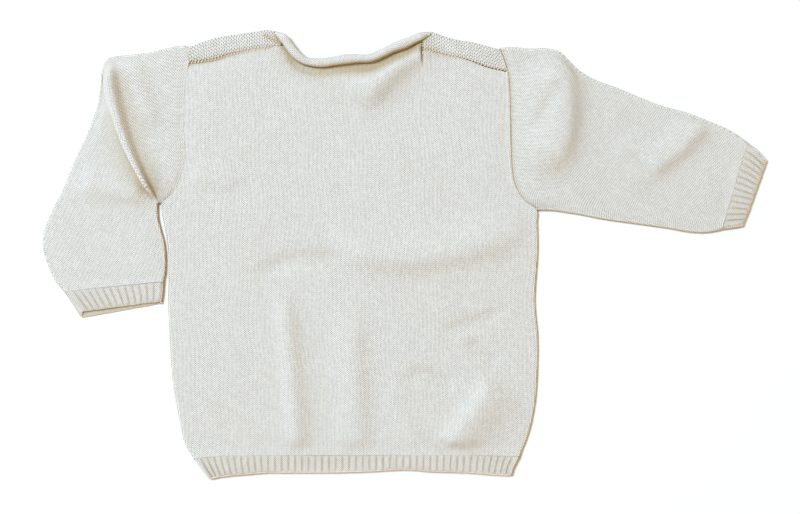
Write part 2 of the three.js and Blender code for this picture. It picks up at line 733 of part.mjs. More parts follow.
const group = new THREE.Group();
group.add(
  piece("back", back(), CREAM),
  piece("front_left", front(-1), CREAM),
  piece("front_right", front(1), CREAM),
  piece("sleeve_left", sleeveLeft(), CREAM),
  piece("sleeve_right", sleeveRight(), CREAM),
  piece("cuff_left", cuff(foldedCuff, -1), RIB_CREAM),
  piece("cuff_right", cuff(straightCuff, 1), RIB_CREAM),
  piece("hem_back", hemBack(), RIB_CREAM),
  piece("hem_front_left", hemFront(-1), RIB_CREAM),
  piece("hem_front_right", hemFront(1), RIB_CREAM),
  piece("neckband_back", neckbandBack(), CREAM),
  piece("neckband_front_left", neckbandFront(-1), CREAM),
  piece("neckband_front_right", neckbandFront(1), CREAM),
  piece("front_band_left", frontBand(-1), RIB_CREAM),
  piece("front_band_right", frontBand(1), RIB_CREAM),
);

export default group;
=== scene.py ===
# A baby's cardigan in fine cream cotton, laid face down, with the left sleeve folded down beside the body.
# Shapes are worked out in millimetres, in the part's own frame, and made into meshes in metres.
# Left and right are the wearer's, which are also the viewer's, because the back is up.
import math

import bpy
import numpy as np
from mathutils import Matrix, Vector


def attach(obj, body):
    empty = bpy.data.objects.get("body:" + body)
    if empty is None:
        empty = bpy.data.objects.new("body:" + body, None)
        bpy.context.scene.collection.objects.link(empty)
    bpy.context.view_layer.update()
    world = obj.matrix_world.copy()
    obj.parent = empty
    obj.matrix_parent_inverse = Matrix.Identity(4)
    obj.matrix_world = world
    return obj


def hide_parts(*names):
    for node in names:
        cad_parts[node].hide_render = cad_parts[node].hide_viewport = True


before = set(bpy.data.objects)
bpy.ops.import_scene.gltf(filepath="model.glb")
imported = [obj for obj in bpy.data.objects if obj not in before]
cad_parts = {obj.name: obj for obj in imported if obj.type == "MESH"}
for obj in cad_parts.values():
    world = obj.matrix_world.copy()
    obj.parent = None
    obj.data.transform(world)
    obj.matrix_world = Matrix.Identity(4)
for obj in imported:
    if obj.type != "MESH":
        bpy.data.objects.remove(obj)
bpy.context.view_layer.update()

# The cloth and its layers, as in the part's source
MM = 0.001
WALL = 1.5
LAYER = 0.3
UNDER = WALL / 2
OVER = UNDER + WALL + LAYER
TURN = (OVER - UNDER) / 2
FOLD_CENTRE = (OVER + UNDER) / 2
FOLD_REACH = TURN + WALL / 2
CLOSE = 0.04  # between the edges of two sewn pieces, where the cloth all but touches

# The body
CENTRE = -37
UNDERARM = 34
BACK_LENGTH = 285  # at the shoulder seams
BACK_MEAN_LENGTH = 282
SIDE_TURN = 86  # degrees that a side seam turns towards the other layer
SIDE_POINTS = 6
SIDE_FADE = 12
EDGE_FADE = 13  # how far in from a panel's edges its creases have their full height
ARMHOLE_FADE = 8  # from just above the underarm, where the armhole's ridges begin
DIP_END = 66  # where the dip along the right shoulder's seam has run out
DIP_FADE = 40
CORNER_REACH = 16.0
CORNER_RISE = 10.0  # how much higher the panel ends beside the roll than at the shoulder seam
TOP_BEND = 24  # the higher, the later a panel's rows bend towards its upper line

# The neck and the front opening
ROLL_WIDTH = 2.4
ROLL_DEPTH = 2.3
ROLL_LIFT = WALL + LAYER + ROLL_DEPTH + WALL / 2
ROLL_START = 215  # degrees, where the knitting leaves the panel
ROLL_END = 555
ROLL_POINTS = 26
ROLL_LENGTH = 112
TIP_SIZE = 0.35  # of the roll, where it ends at the shoulders
TIP_HEIGHT = OVER + 0.4
NECK_DEPTH = 54
NECK_HALF = 49.6
SHOULDER_POINTS = 11  # round the fold over a shoulder
STRIP_WIDTH = 10  # about as far as from the fold over a shoulder to its seam
BAND_WIDTH = 14
BAND_LENGTH = 258
OPENING = BAND_WIDTH + 0.2  # from the middle line to the fronts' own edges
NECKBAND_WIDTH = 7

# The ribs and the stitches
HEM_RIBS = 48
HEM_WIDTH = 14
CUFF_RIBS = 13
RIB_HEIGHT = 0.75
RIB_WALES = 3
RIB_POINTS = 10
VALLEY_WIDTH = 0.19  # of a rib
NOTCH_WIDTH = 0.1
NOTCH_DEPTH = 0.28
RIB_START = 2.2  # below the hem's seam, where its ribs have their full shape
RIB_END = 1.2  # above its cast-off edge
CUFF_RIB_START = 0.16  # the same in shares of a cuff's length
CUFF_RIB_END = 0.08
LEAN_REACH = 18  # ribs lean with the side seams as far as this from them
WALE = 1.85
COURSE = 1.4
RIB_COURSE = 1.45
LOOSE_WALE = 2.3  # the strips behind the shoulders are knitted looser
LOOSE_COURSE = 2.2
GRAIN = 1.7  # spacing of a fine shell's points

# The sleeves
SLEEVE_WIDTH = 105
SPINE = 0.45  # where, from edge a to edge b, a sleeve's length is measured
SLEEVE_FADE = 0.09  # of the width, where the creases rise from the edges
FOLD_FADE = 0.12  # of the width, where the fold rises from the edges
FOLD_POINTS = 9  # round a flat sleeve's edge
EVENNESS = 0.6  # how far the courses keep one spacing round a bent sleeve
CUFF_WIDTH = 60

# How much the laid cloth puffs up, and how uneven it is
BACK_PUFF = 0.3
SLEEVE_PUFF = 0.35
SLEEVE_UNEVENNESS = 1.3
HEM_WAVE = 0.5
CUFF_WAVE = 0.25

# Ridges and grooves beside the joints: how high, how far from the edge, and how wide
LEFT_ARMHOLE_GROOVE = (-0.3, 0, 1.4)
RIGHT_ARMHOLE_RIDGE = (0.5, 0.9, 1.2)
BACK_HEM_RISE = (1.1 * RIB_HEIGHT, 0, 4.2)
SHOULDER_DIP = (-1.7, 1.6, 1.8)
NECK_TROUGH = (-1.1, 3.2, 3)
STRIP_RIDGE = (0.4, 1.6, 1.1)
STRIP_GROOVE = (-0.5, 0, 0.7)
CUFF_RISE = (RIB_HEIGHT, 0, 3.8)
SLEEVE_GROOVES = {"left": (-0.3, 1, 1.9), "right": (-0.5, 1, 1.9)}


def table(columns, *rows):
    """A short table: one array for each named column."""
    return dict(zip(columns.split(), np.array(rows, float).T))


LEFT_EDGE = table(
    "y x",
    (-156, -137), (-150, -142), (-143, -147), (-136, -152), (-129, -155), (-115, -158), (-94, -162),
    (-59, -165), (-31, -165.8), (0, -165.6), (15, -167.4), (28, -169.8), (36, -170.6), (42, -164.3),
    (48, -160.2), (56, -157), (70, -154), (89, -155), (120, -154), (137, -151), (147, -149.8),
)
RIGHT_EDGE = table(
    "y x",
    (-154, 75), (-150, 75.6), (-143, 79), (-136, 82), (-129, 85), (-115, 89), (-94, 92), (-59, 93),
    (-31, 91), (4, 93), (24, 92.6), (32.5, 91.6), (37.5, 84.5), (44, 79.2), (52, 75.8), (65, 74.2),
    (93, 73.5), (126, 72.1), (137, 69.5), (145, 66),
)
HEM_TOP = table("x y", (-146, -141.8), (-120, -140.2), (-37, -139.7), (50, -139.9), (80, -140.6))
HEM_BOTTOM = table(
    "x y",
    (-137, -155.9), (-125, -154.4), (-108, -153), (-92, -151.7), (-50, -151.5), (-24, -150.8),
    (0, -149.5), (18, -150.8), (43, -151.6), (60, -153), (75, -153.6),
)
NECK_ROLL = table(
    "x y",
    (-83.8, 150.4), (-81, 146.4), (-77, 141.4), (-72, 137.2), (-66.5, 135.1), (-58, 134.6), (-50, 135.6),
    (-41, 137), (-33, 137.5), (-24.5, 137.7), (-16, 141), (-8, 145), (1, 148.4), (10.4, 152.6),
)
# Where the band runs on over the shoulder points, to join the fronts' bands
LEFT_TIP = table("x y", (-91, 155.4), (-87.2, 153.4))
RIGHT_TIP = table("x y", (13.8, 154), (17.6, 154.9))
ROLL_LINE = {key: np.concatenate([LEFT_TIP[key], NECK_ROLL[key], RIGHT_TIP[key]]) for key in "xy"}
TIP_LENGTH = 8
LEFT_SHOULDER = table(
    "x fold seam",
    (-151, 146.2, 136.2), (-143, 149.6, 136.9), (-134, 152.3, 138.4), (-125, 153.9, 141),
    (-115, 155.2, 143.5), (-104, 157, 145.3), (-96, 157.8, 146), (CENTRE - NECK_HALF, 156, 146.6),
)
RIGHT_SHOULDER = table(
    "x fold seam",
    (CENTRE + NECK_HALF, 156, 142.6), (19, 156.6, 143.2), (27, 153.7, 141.4), (38, 150.8, 139),
    (48, 149.4, 135.6), (58, 146.8, 131.6), (72, 143.2, 128.4),
)
BACK_LEFT = LEFT_SHOULDER["x"][0]
BACK_WIDTH = RIGHT_SHOULDER["x"][-1] - BACK_LEFT
NECK_LEFT = LEFT_SHOULDER["x"][-1]
NECK_RIGHT = RIGHT_SHOULDER["x"][0]

# Creases: a line from, over and to, how far each side slopes, and how high it stands
CREASE = "x0 y0 x1 y1 x2 y2 left right height"
BACK_CREASES = table(
    CREASE,
    (22, 160, -6, 135, -36, 102, 9, 16, 6),
    (-60, 10, 8, -19, 98, 24, 17, 9, 3.9),
    (-36, -6, -68, 8, -112, -18, 6, 6, -1.7),
    (-87, -18, -80, -80, -73, -165, 8, 7, 4),
    (-38, -30, -35, -95, -32, -165, 8, 14, 2.8),
    (-16, -88, 0, -112, 14, -150, 6, 6, 1.2),
    (27, -138, 45, -116, 66, -84, 9, 16, 5.8),
    (24, -52, 48, -50, 72, -36, 5, 5, -1.4),
    (42, -58, 54, -66, 66, -78, 5, 5, -1.3),
    (0, -80, 18, -84, 38, -90, 5, 6, -1.4),
    (-170, 54, -146, 58, -110, 50, 14, 7, 1.7),
)
STRAIGHT_CREASES = table(
    CREASE,
    (104, 148, 125, 100, 98, 50, 8.5, 24, 6.4),
    (112, 126, 100, 108, 92, 84, 5, 5, -1.5),
    (216, 102, 188, 64, 166, 60, 6, 12, 3.8),
    (150, 84, 165, 68, 172, 44, 14, 14, 1.2),
)
FOLDED_CREASES = table(
    CREASE,
    (-232, 52, -206, 45, -176, 42, 12, 8, 3.4),
    (-196, 146, -188, 120, -174, 84, 7, 9, 2.6),
)

# The sleeves: both edges of each ring, the share of the armhole's curve it keeps, its bow and its lift
STRAIGHT_SLEEVE = table(
    "ax ay bx by curve bow lift",
    (66.7, 145.4, 92.6, 31.4, 1, 0, 0), (76, 146, 98, 31.6, 0.7, 0, 0), (87, 145, 105, 31.2, 0.4, 0, 0),
    (99, 145.2, 113, 30, 0.15, 0, 0), (108.5, 142.6, 121, 28.8, 0, 0, 0), (115, 136.6, 128, 27.4, 0, 0, 0),
    (122, 129.8, 136, 25.8, 0, 0, 0), (133, 123.2, 146, 24.2, 0, 0, 0), (147, 118, 158, 22.6, 0, 0, 0),
    (163, 111.4, 171, 20.8, 0, 0, 0), (180, 104.8, 185, 18.8, 0, 0, 0), (197, 100.2, 197, 16.6, 0, 0, 0),
    (213, 94, 208, 15.8, 0, 0, 0), (228, 87.4, 216, 16.6, 0, 0, 0), (240.1, 79.3, 222.5, 18, 0, 0, 0),
)
FAN_X = -172.2
FAN_Y = 35.3
FAN_RADIUS = 0.9
FOLDED_FAN = table(
    "ax ay fan curve bow lift",
    (-150.3, 146.9, 37, 1, 0, 0), (-158, 146.9, 58, 0.75, 0, 0), (-168, 144.9, 76, 0.45, 0, 0),
    (-180, 142.1, 90, 0.2, 0, 0), (-192, 140.6, 99, 0, -1, 0.1), (-201, 139.8, 105, 0, -4.5, 1.2),
    (-206.6, 138.6, 109, 0, -6.6, 6.6), (-208.8, 137.4, 112, 0, -7.4, 7), (-210.6, 135, 116, 0, -7.6, 6.8),
    (-212.6, 129, 121, 0, -6.8, 5.4), (-213.4, 119, 127, 0, -5, 3.6), (-215, 107.5, 134, 0, -3, 2.1),
    (-219.4, 93.5, 142, 0, -1, 1.1), (-226.4, 77, 151, 0, 0, 0.5),
)
FOLDED_REACH = table(
    "ax ay bx by",
    (-233.6, 62, -173, 32), (-239.6, 46.5, -172.6, 26), (-247.4, 31, -171, 19), (-253.2, 16, -168.8, 11),
    (-253.4, 3, -167.6, 3), (-250, -7.4, -167.3, -5), (-245.6, -17, -167.6, -12),
    (-238.5, -26.1, -168.6, -18.6),
)
FOLD_RING = 7  # the ring along the fold's crest
BELOW_FOLD = 9  # degrees that the stitches lean beyond it
FOLDED_CUFF = table(
    "ax ay bx by",
    (-238.44, -26.17, -168.61, -18.66), (-232.4, -33.4, -169, -25.6), (-226.8, -39.8, -169.8, -32),
)
STRAIGHT_CUFF = table(
    "ax ay bx by",
    (240.16, 79.25, 222.56, 18.03), (247.4, 73.6, 230, 19), (253.6, 67, 236.9, 20.2),
)
# How far a cuff's lower layer lies out from under the upper one, at both edges
FOLDED_MOUTH = (-0.6, -4.2, -0.8, -1.5)
STRAIGHT_MOUTH = (0, 0, 0, 0)


def mix(a, b, share):
    return a + (b - a) * share


def smooth(share):
    share = np.clip(share, 0, 1)
    return share * share * (3 - 2 * share)


def spaced(length, step=GRAIN):
    """Even shares from 0 to 1, about a step apart on a line of that length."""
    return np.linspace(0, 1, max(int(round(length / step)), 2) + 1)


def read(rows, key, column, at):
    """One column of a table where another has the value at, on a smooth curve through the rows."""
    keys = rows[key]
    values = rows[column]
    slopes = np.empty_like(values)
    slopes[1:-1] = (values[2:] - values[:-2]) / (keys[2:] - keys[:-2])
    slopes[0] = (values[1] - values[0]) / (keys[1] - keys[0])
    slopes[-1] = (values[-1] - values[-2]) / (keys[-1] - keys[-2])
    i = np.clip(np.searchsorted(keys, at) - 1, 0, len(keys) - 2)
    span = keys[i + 1] - keys[i]
    t = np.clip((at - keys[i]) / span, 0, 1)
    start = values[i] * (1 + 2 * t) * (1 - t) ** 2 + slopes[i] * span * t * (1 - t) ** 2
    end = values[i + 1] * t * t * (3 - 2 * t) - slopes[i + 1] * span * t * t * (1 - t)
    return start + end


def crease_height(creases, x, y):
    """How high the creases lift the cloth at each place."""
    height = np.zeros(np.broadcast(x, y).shape)
    for crease in zip(*creases.values()):
        x0, y0, x1, y1, x2, y2, left, right, high = crease
        nearest = np.full(height.shape, np.inf)
        share = np.zeros(height.shape)
        side = np.ones(height.shape)
        for t in np.linspace(0, 1, 49):
            px = (1 - t) ** 2 * x0 + 2 * t * (1 - t) * x1 + t * t * x2
            py = (1 - t) ** 2 * y0 + 2 * t * (1 - t) * y1 + t * t * y2
            dx = mix(x1 - x0, x2 - x1, t)
            dy = mix(y1 - y0, y2 - y1, t)
            distance = np.hypot(x - px, y - py)
            closer = distance < nearest
            nearest = np.where(closer, distance, nearest)
            share = np.where(closer, t, share)
            side = np.where(closer, dx * (y - py) - dy * (x - px), side)
        width = np.where(side > 0, left, right)
        fade = smooth(np.minimum(share, 1 - share) / 0.25)
        height += high * fade * np.exp(-((nearest / width) ** 2))
    return height


def ridge(distance, height, at, width):
    """A soft ridge that runs along an edge, or a groove where the height is below nothing."""
    return height * np.exp(-(((distance - at) / width) ** 2))


def unit(vectors):
    return vectors / np.maximum(np.linalg.norm(vectors, axis=-1, keepdims=True), 1e-9)


def directions(grid, axis, ring=False):
    """The direction of a grid's lines at each point, halfway between the steps on its two sides."""
    if ring:
        before = unit(grid - np.roll(grid, 1, axis))
        after = unit(np.roll(grid, -1, axis) - grid)
        return before + after
    step = unit(np.diff(grid, axis=axis))
    first = step.take([0], axis)
    last = step.take([-1], axis)
    return np.concatenate([first, step], axis) + np.concatenate([step, last], axis)


def run_length(grid, axis):
    """How far along the cloth each point is, from the first one."""
    step = np.linalg.norm(np.diff(grid, axis=axis), axis=-1)
    start = np.zeros_like(step.take([0], axis))
    return np.concatenate([start, np.cumsum(step, axis)], axis)


def side_word(side):
    return "left" if side < 0 else "right"


def shell(name, grid, cloth, ring=False, relief=0.0, low=0.0, high=99.0, loose_from=None):
    """A closed wall of cloth round a grid of points at its middle.

    Its cloth coordinates become a UV map. They come in patches, each with the row that it starts from.
    """
    rows, columns = grid.shape[:2]
    normal = unit(np.cross(directions(grid, 1, ring), directions(grid, 0)))
    relief = np.broadcast_to(relief, (rows, columns))[..., None]
    skins = np.stack([grid + normal * (WALL / 2 + relief), grid - normal * WALL / 2])
    skins[..., 2] = np.clip(skins[..., 2], low, high)
    wide = columns if ring else columns - 1
    c, r = np.meshgrid(np.arange(wide), np.arange(rows - 1))

    def corner(skin, row, column):
        return np.stack(np.broadcast_arrays(skin, row, column), -1).reshape(-1, 3)

    def face(places):
        return np.stack([corner(*place) for place in places], 1)

    faces = [
        face([(0, r, c), (0, r, c + 1), (0, r + 1, c + 1), (0, r + 1, c)]),
        face([(1, r + 1, c), (1, r + 1, c + 1), (1, r, c + 1), (1, r, c)]),
    ]
    c = np.arange(wide)
    end = rows - 1
    faces.append(face([(0, 0, c + 1), (0, 0, c), (1, 0, c), (1, 0, c + 1)]))
    faces.append(face([(0, end, c), (0, end, c + 1), (1, end, c + 1), (1, end, c)]))
    if not ring:
        r = np.arange(rows - 1)
        end = columns - 1
        faces.append(face([(0, r, 0), (0, r + 1, 0), (1, r + 1, 0), (1, r, 0)]))
        faces.append(face([(0, r + 1, end), (0, r, end), (1, r, end), (1, r + 1, end)]))
    corners = np.concatenate(faces)
    index = (corners[..., 0] * rows + corners[..., 1]) * columns + corners[..., 2] % columns
    mesh = bpy.data.meshes.new(name)
    mesh.from_pydata((skins.reshape(-1, 3) * MM).tolist(), [], index.tolist())
    uv = mesh.uv_layers.new(name="knit")
    places = np.zeros(corners.shape[:2] + (2,))
    for first, patch in cloth:
        patched = corners[..., 1].min(1) >= first
        places[patched] = patch[corners[patched, :, 1], corners[patched, :, 2]] * MM
    uv.data.foreach_set("uv", places.astype(np.float32).ravel())
    mesh.shade_smooth()
    if loose_from is not None:
        loose = corners[..., 1].min(1) >= loose_from
        mesh.polygons.foreach_set("material_index", loose.astype(np.int32))
    ends = np.empty(2 * len(mesh.edges), np.int32)
    mesh.edges.foreach_get("vertices", ends)
    skin, row, column = np.unravel_index(ends.reshape(-1, 2), (2, rows, columns))
    at_row = (row == 0).all(1) | (row == rows - 1).all(1)
    at_column = ((column == 0).all(1) | (column == columns - 1).all(1)) & (not ring)
    sharp = (skin[:, 0] == skin[:, 1]) & (at_row | at_column)
    mesh.attributes.new("sharp_edge", "BOOLEAN", "EDGE").data.foreach_set("value", sharp)
    piece = bpy.data.objects.new(name, mesh)
    bpy.context.collection.objects.link(piece)
    return piece


# Panels

def side_turn(x, y, height, outwards, upwards):
    """The points past a panel's side, out to its outline, bending towards the other layer."""
    amount = smooth((UNDERARM - y) / SIDE_FADE)
    bend = np.maximum(amount, 0.001) / TURN
    full = TURN * math.radians(SIDE_TURN)
    length = full * mix(FOLD_REACH / full, 1, amount)
    angle = (bend * length)[:, None] * np.linspace(0, 1, SIDE_POINTS)
    reach = np.sin(angle) / bend[:, None]
    rise = (1 - np.cos(angle)) / bend[:, None]
    start = x - outwards * FOLD_REACH
    across = start[:, None] + outwards * reach
    return np.stack([across, np.broadcast_to(y[:, None], across.shape), height + upwards * rise], -1)


def panel(u, v, lower, upper, left, right, height, upwards, lift, seams):
    """A panel between two side edges, a lower line and an upper line. Its side seams turn up or down."""
    ends = np.array([0.0, 1.0])
    y_left, y_right = (mix(lower(ends), upper(ends), v[:, None])).T
    start = left(y_left) + (FOLD_REACH if seams[0] else 0)
    end = right(y_right) - (FOLD_REACH if seams[1] else 0)
    x = mix(start[:, None], end[:, None], u)
    straight = mix(*upper(ends), u)
    y = mix(lower(u), straight, v[:, None]) + (upper(u) - straight) * v[:, None] ** TOP_BEND
    grid = np.stack([x, y, height + lift(x, y, u, v[:, None])], -1)
    fading = np.linspace(1, 0, SIDE_POINTS)
    if seams[0]:
        turn = side_turn(left(y_left), y_left, height, -1, upwards)
        turn[..., 2] += (grid[:, :1, 2] - height) * fading
        grid = np.concatenate([turn[:, ::-1], grid[:, 1:]], 1)
    if seams[1]:
        turn = side_turn(right(y_right), y_right, height, 1, upwards)
        turn[..., 2] += (grid[:, -1:, 2] - height) * fading
        grid = np.concatenate([grid[:, :-1], turn], 1)
    return grid


# The lines where pieces end or meet, for the stitches along them
edges = {}


def flat(x, y, u, v):
    return np.zeros(np.broadcast(x, y).shape)


def left_x(y):
    return read(LEFT_EDGE, "y", "x", y)


def right_x(y):
    return read(RIGHT_EDGE, "y", "x", y)


def back_top(x):
    """The back's upper edge: shoulder seam, neckline inside the roll, shoulder seam."""
    neck_right = NECK_RIGHT - 0.3
    at = np.clip(x, NECK_ROLL["x"][0], NECK_ROLL["x"][-1])
    slope = read(NECK_ROLL, "x", "y", at + 0.5) - read(NECK_ROLL, "x", "y", at - 0.5)
    inset = (ROLL_WIDTH + WALL / 2) * np.hypot(1, np.clip(slope, -1.4, 1.4))
    neck = read(NECK_ROLL, "x", "y", at) - inset
    left = read(LEFT_SHOULDER, "x", "seam", x)
    right = read(RIGHT_SHOULDER, "x", "seam", x)
    return np.where(x <= NECK_LEFT, left, np.where(x >= neck_right, right, neck))


def from_edge(grid):
    """Each point's shortest way to the left, right, lower and upper edges of its grid, along the grid."""
    across = run_length(grid, 1)
    along = run_length(grid, 0)
    return across, across[:, -1:] - across, along, along[-1:] - along


def planar(grid):
    """Cloth coordinates of a panel: its columns of stitches run up the body, and wander a little."""
    x, y = grid[..., 0], grid[..., 1]
    u = x + 0.5 * np.sin(y / 23) + 0.3 * np.sin(y / 9 + x / 40)
    v = y + 0.6 * np.sin(x / 31) + 0.3 * np.sin(x / 11 + 1)
    return np.stack([u, v], -1)


def turned_place(grid, angle):
    """Cloth coordinates that lie flat, with the stitches turned by an angle."""
    x, y = grid[..., 0], grid[..., 1]
    sine, cosine = math.sin(math.radians(angle)), math.cos(math.radians(angle))
    return np.stack([x * cosine + y * sine, y * cosine - x * sine], -1)


def back_columns():
    """Where the back's columns of points run, with some just beside the neck's corners."""
    beside = np.array([NECK_LEFT + 0.4, NECK_RIGHT - 0.5, NECK_RIGHT - 0.08])
    start, end, beyond = (beside - BACK_LEFT) / BACK_WIDTH
    left = mix(0, start, spaced(NECK_LEFT - BACK_LEFT))
    neck = mix(start, end, spaced(NECK_RIGHT - NECK_LEFT - ROLL_WIDTH))
    right = mix(beyond, 1, spaced(BACK_LEFT + BACK_WIDTH - NECK_RIGHT))
    return np.concatenate([left, neck[1:], right])


def undulation(x, y):
    """The slight unevenness of cloth that was washed and laid down by hand."""
    slow = np.sin(x / 17 + 2.1 * np.sin(y / 41)) * np.sin(y / 23 + 1.3 * np.sin(x / 37))
    quick = np.sin(x / 7.3 + y / 19) * np.sin(y / 9.1 - x / 29)
    return 0.22 * slow + 0.07 * quick


def beside_neck(x):
    """Full just outside the neck's corners and less further out. Nothing between the corners."""
    beyond = np.maximum(x - NECK_RIGHT, NECK_LEFT - x)
    return np.where(beyond > 0, 1 - smooth(beyond / CORNER_REACH), 0)


def whole_line(rows, u):
    """The height of one of the hem's lines, at shares of its own width."""
    return read(rows, "x", "y", mix(rows["x"][0], rows["x"][-1], u))


def make_back():
    """The back, from the hem's seam to the shoulder seams and the roll."""
    def upper(u):
        return back_top(BACK_LEFT + BACK_WIDTH * u)

    def lower(u):
        return whole_line(HEM_TOP, u) + CLOSE

    def lift(x, y, u, v):
        above = upper(u) - y + CORNER_RISE * beside_neck(x)
        sideways = np.minimum(u, 1 - u) * BACK_WIDTH
        inside = np.minimum(sideways, np.minimum(v * BACK_LENGTH, above))
        height = crease_height(BACK_CREASES, x, y) + BACK_PUFF + undulation(x, y)
        return height * smooth(inside / EDGE_FADE)

    rows = spaced(BACK_MEAN_LENGTH)
    grid = panel(back_columns(), rows, lower, upper, left_x, right_x, OVER, -1, lift, (True, True))
    cloth = planar(grid)
    left, right, down, up = from_edge(grid)
    x, y = grid[..., 0], grid[..., 1]
    armhole = smooth((y - UNDERARM - 4) / ARMHOLE_FADE)
    beyond = np.abs(x - CENTRE) - NECK_HALF
    deep = np.where(x < CENTRE, 1, smooth((DIP_END - x) / DIP_FADE))
    left_seam = read(LEFT_SHOULDER, "x", "seam", x)
    seam = np.where(x < CENTRE, left_seam, read(RIGHT_SHOULDER, "x", "seam", x))
    grid[..., 2] += ridge(left, *LEFT_ARMHOLE_GROOVE) * armhole
    grid[..., 2] += ridge(right, *RIGHT_ARMHOLE_RIDGE) * armhole
    grid[..., 2] += ridge(down, *BACK_HEM_RISE)
    grid[..., 2] += ridge(seam - y, *SHOULDER_DIP) * smooth((beyond - 1) / 6) * deep
    grid[..., 2] += ridge(up, *NECK_TROUGH) * smooth((-1 - beyond) / 8)
    return shell("back_panel", grid, [(0, cloth)], low=WALL + LAYER / 2)


def front_top(side):
    """The height where a front's neck edge meets the fold over the shoulder."""
    shoulder = LEFT_SHOULDER if side < 0 else RIGHT_SHOULDER
    return read(shoulder, "x", "fold", CENTRE + side * NECK_HALF) - FOLD_REACH


def make_front(side):
    """A front: the layer that rests, the fold over the shoulder, and the strip down to its seam."""
    shoulder = LEFT_SHOULDER if side < 0 else RIGHT_SHOULDER
    edge = left_x if side < 0 else right_x
    neck = CENTRE + side * NECK_HALF
    top = front_top(side)
    tip = shoulder["x"][0 if side < 0 else -1]
    armhole = edge(np.float64(read(shoulder, "x", "fold", tip)))

    def inner(y):
        """The front's opening, then the quarter of an ellipse round the neck."""
        down = np.clip((top - y) / NECK_DEPTH, 0, 1)
        return mix(CENTRE + side * OPENING, neck, np.sqrt(1 - down * down))

    def outward(u):
        return u if side < 0 else 1 - u

    def fold_line(u):
        return read(shoulder, "x", "fold", mix(armhole, neck, outward(u))) - FOLD_REACH

    def hem_line(u):
        low = HEM_TOP["x"][0 if side < 0 else -1]
        return read(HEM_TOP, "x", "y", mix(low, CENTRE, outward(u))) + CLOSE

    tall = top - hem_line(np.float64(1 if side < 0 else 0))
    below = spaced(tall - NECK_DEPTH, 2 * GRAIN) * (1 - NECK_DEPTH / tall)
    neck_rows = 1 - NECK_DEPTH * np.cos(spaced(70) * math.pi / 2) / tall
    resting = panel(
        spaced(90), np.concatenate([below[:-1], neck_rows]), hem_line, fold_line,
        edge if side < 0 else inner, inner if side < 0 else edge, UNDER, 1, flat,
        (side < 0, side > 0),
    )
    last = resting[-1:]
    angles = np.radians(np.linspace(-90, 90, SHOULDER_POINTS)[1:])[:, None]
    folds = np.repeat(last, len(angles), 0)
    folds[..., 1] += TURN * np.cos(angles)
    folds[..., 2] = FOLD_CENTRE + TURN * np.sin(angles)
    share = spaced(STRIP_WIDTH + 1)[1:, None]
    strip = np.repeat(last, len(share), 0)
    seam_x = last[0, :, 0]
    seam_y = read(shoulder, "x", "seam", seam_x) + CLOSE
    towards = np.clip((neck - seam_x) / (neck - armhole), 0, 1)
    strip[..., 0] += share * (edge(seam_y) - armhole) * towards
    strip[..., 1] = mix(last[..., 1], seam_y, share)
    to_seam = (1 - share) * STRIP_WIDTH
    edging = ridge(to_seam, *STRIP_RIDGE) + ridge(to_seam, *STRIP_GROOVE)
    strip[..., 2] = OVER + BACK_PUFF * np.sin(share * math.pi) + edging
    carried = crease_height(BACK_CREASES, strip[..., 0], strip[..., 1])
    strip[..., 2] += smooth(share) * carried * beside_neck(strip[..., 0])
    grid = np.concatenate([resting, folds, strip])
    cloth = planar(resting)
    over = np.repeat(cloth[-1:], len(folds) + len(strip), 0)
    over[..., 1] = run_length(np.concatenate([last, folds, strip]), 0)[1:]
    cloth = np.concatenate([cloth, over])
    limit = np.full((len(grid), 1), 99.0)
    limit[: len(resting) - 1] = WALL
    name = f"front_{side_word(side)}_panel"
    edges[name] = grid[-1]
    return shell(name, grid, [(0, cloth)], high=limit, loose_from=len(resting))


def rib_wave(share):
    """The outline of two-by-one rib: a narrow valley between crests of two stitches."""
    valley = ridge(np.mod(share + 0.5, 1), 1, 0.5, VALLEY_WIDTH)
    notch = ridge(np.mod(share, 1), NOTCH_DEPTH, 0.5, NOTCH_WIDTH)
    return RIB_HEIGHT * (1 - valley - notch)


def make_hem_back():
    """The ribbed hem of the back. Its ribs lean with the side seams."""
    def lower(u):
        return whole_line(HEM_BOTTOM, u)

    def upper(u):
        return whole_line(HEM_TOP, u) - CLOSE

    def lift(x, y, u, v):
        inside = np.sin(v * math.pi) * smooth(np.minimum(u, 1 - u) * 12)
        return HEM_WAVE * np.sin(x / 21 + 0.7) * inside

    columns = np.linspace(0, 1, HEM_RIBS * RIB_POINTS + 1)
    rows = spaced(HEM_WIDTH, 1.2)
    grid = panel(columns, rows, lower, upper, left_x, right_x, OVER, -1, lift, (True, True))
    across = run_length(grid, 1)
    ribs = across / across[:, -1:] * HEM_RIBS
    top = grid[-1, :, 0]
    lean_left = (grid[:, :1, 0] - top[0]) * np.exp(-(top - top[0]) / LEAN_REACH)
    lean_right = (grid[:, -1:, 0] - top[-1]) * np.exp((top - top[-1]) / LEAN_REACH)
    grid[..., 0] = top + lean_left + lean_right
    down, up = from_edge(grid)[2:]
    relief = mix(RIB_HEIGHT, rib_wave(ribs), smooth(up / RIB_START)) * smooth(down / RIB_END)
    edges["hem_back"] = grid[0]
    cloth = np.stack([(ribs * RIB_WALES + 0.5) * WALE, down], -1)
    return shell("hem_back_rib", grid, [(0, cloth)], relief=relief, low=WALL + LAYER / 2)


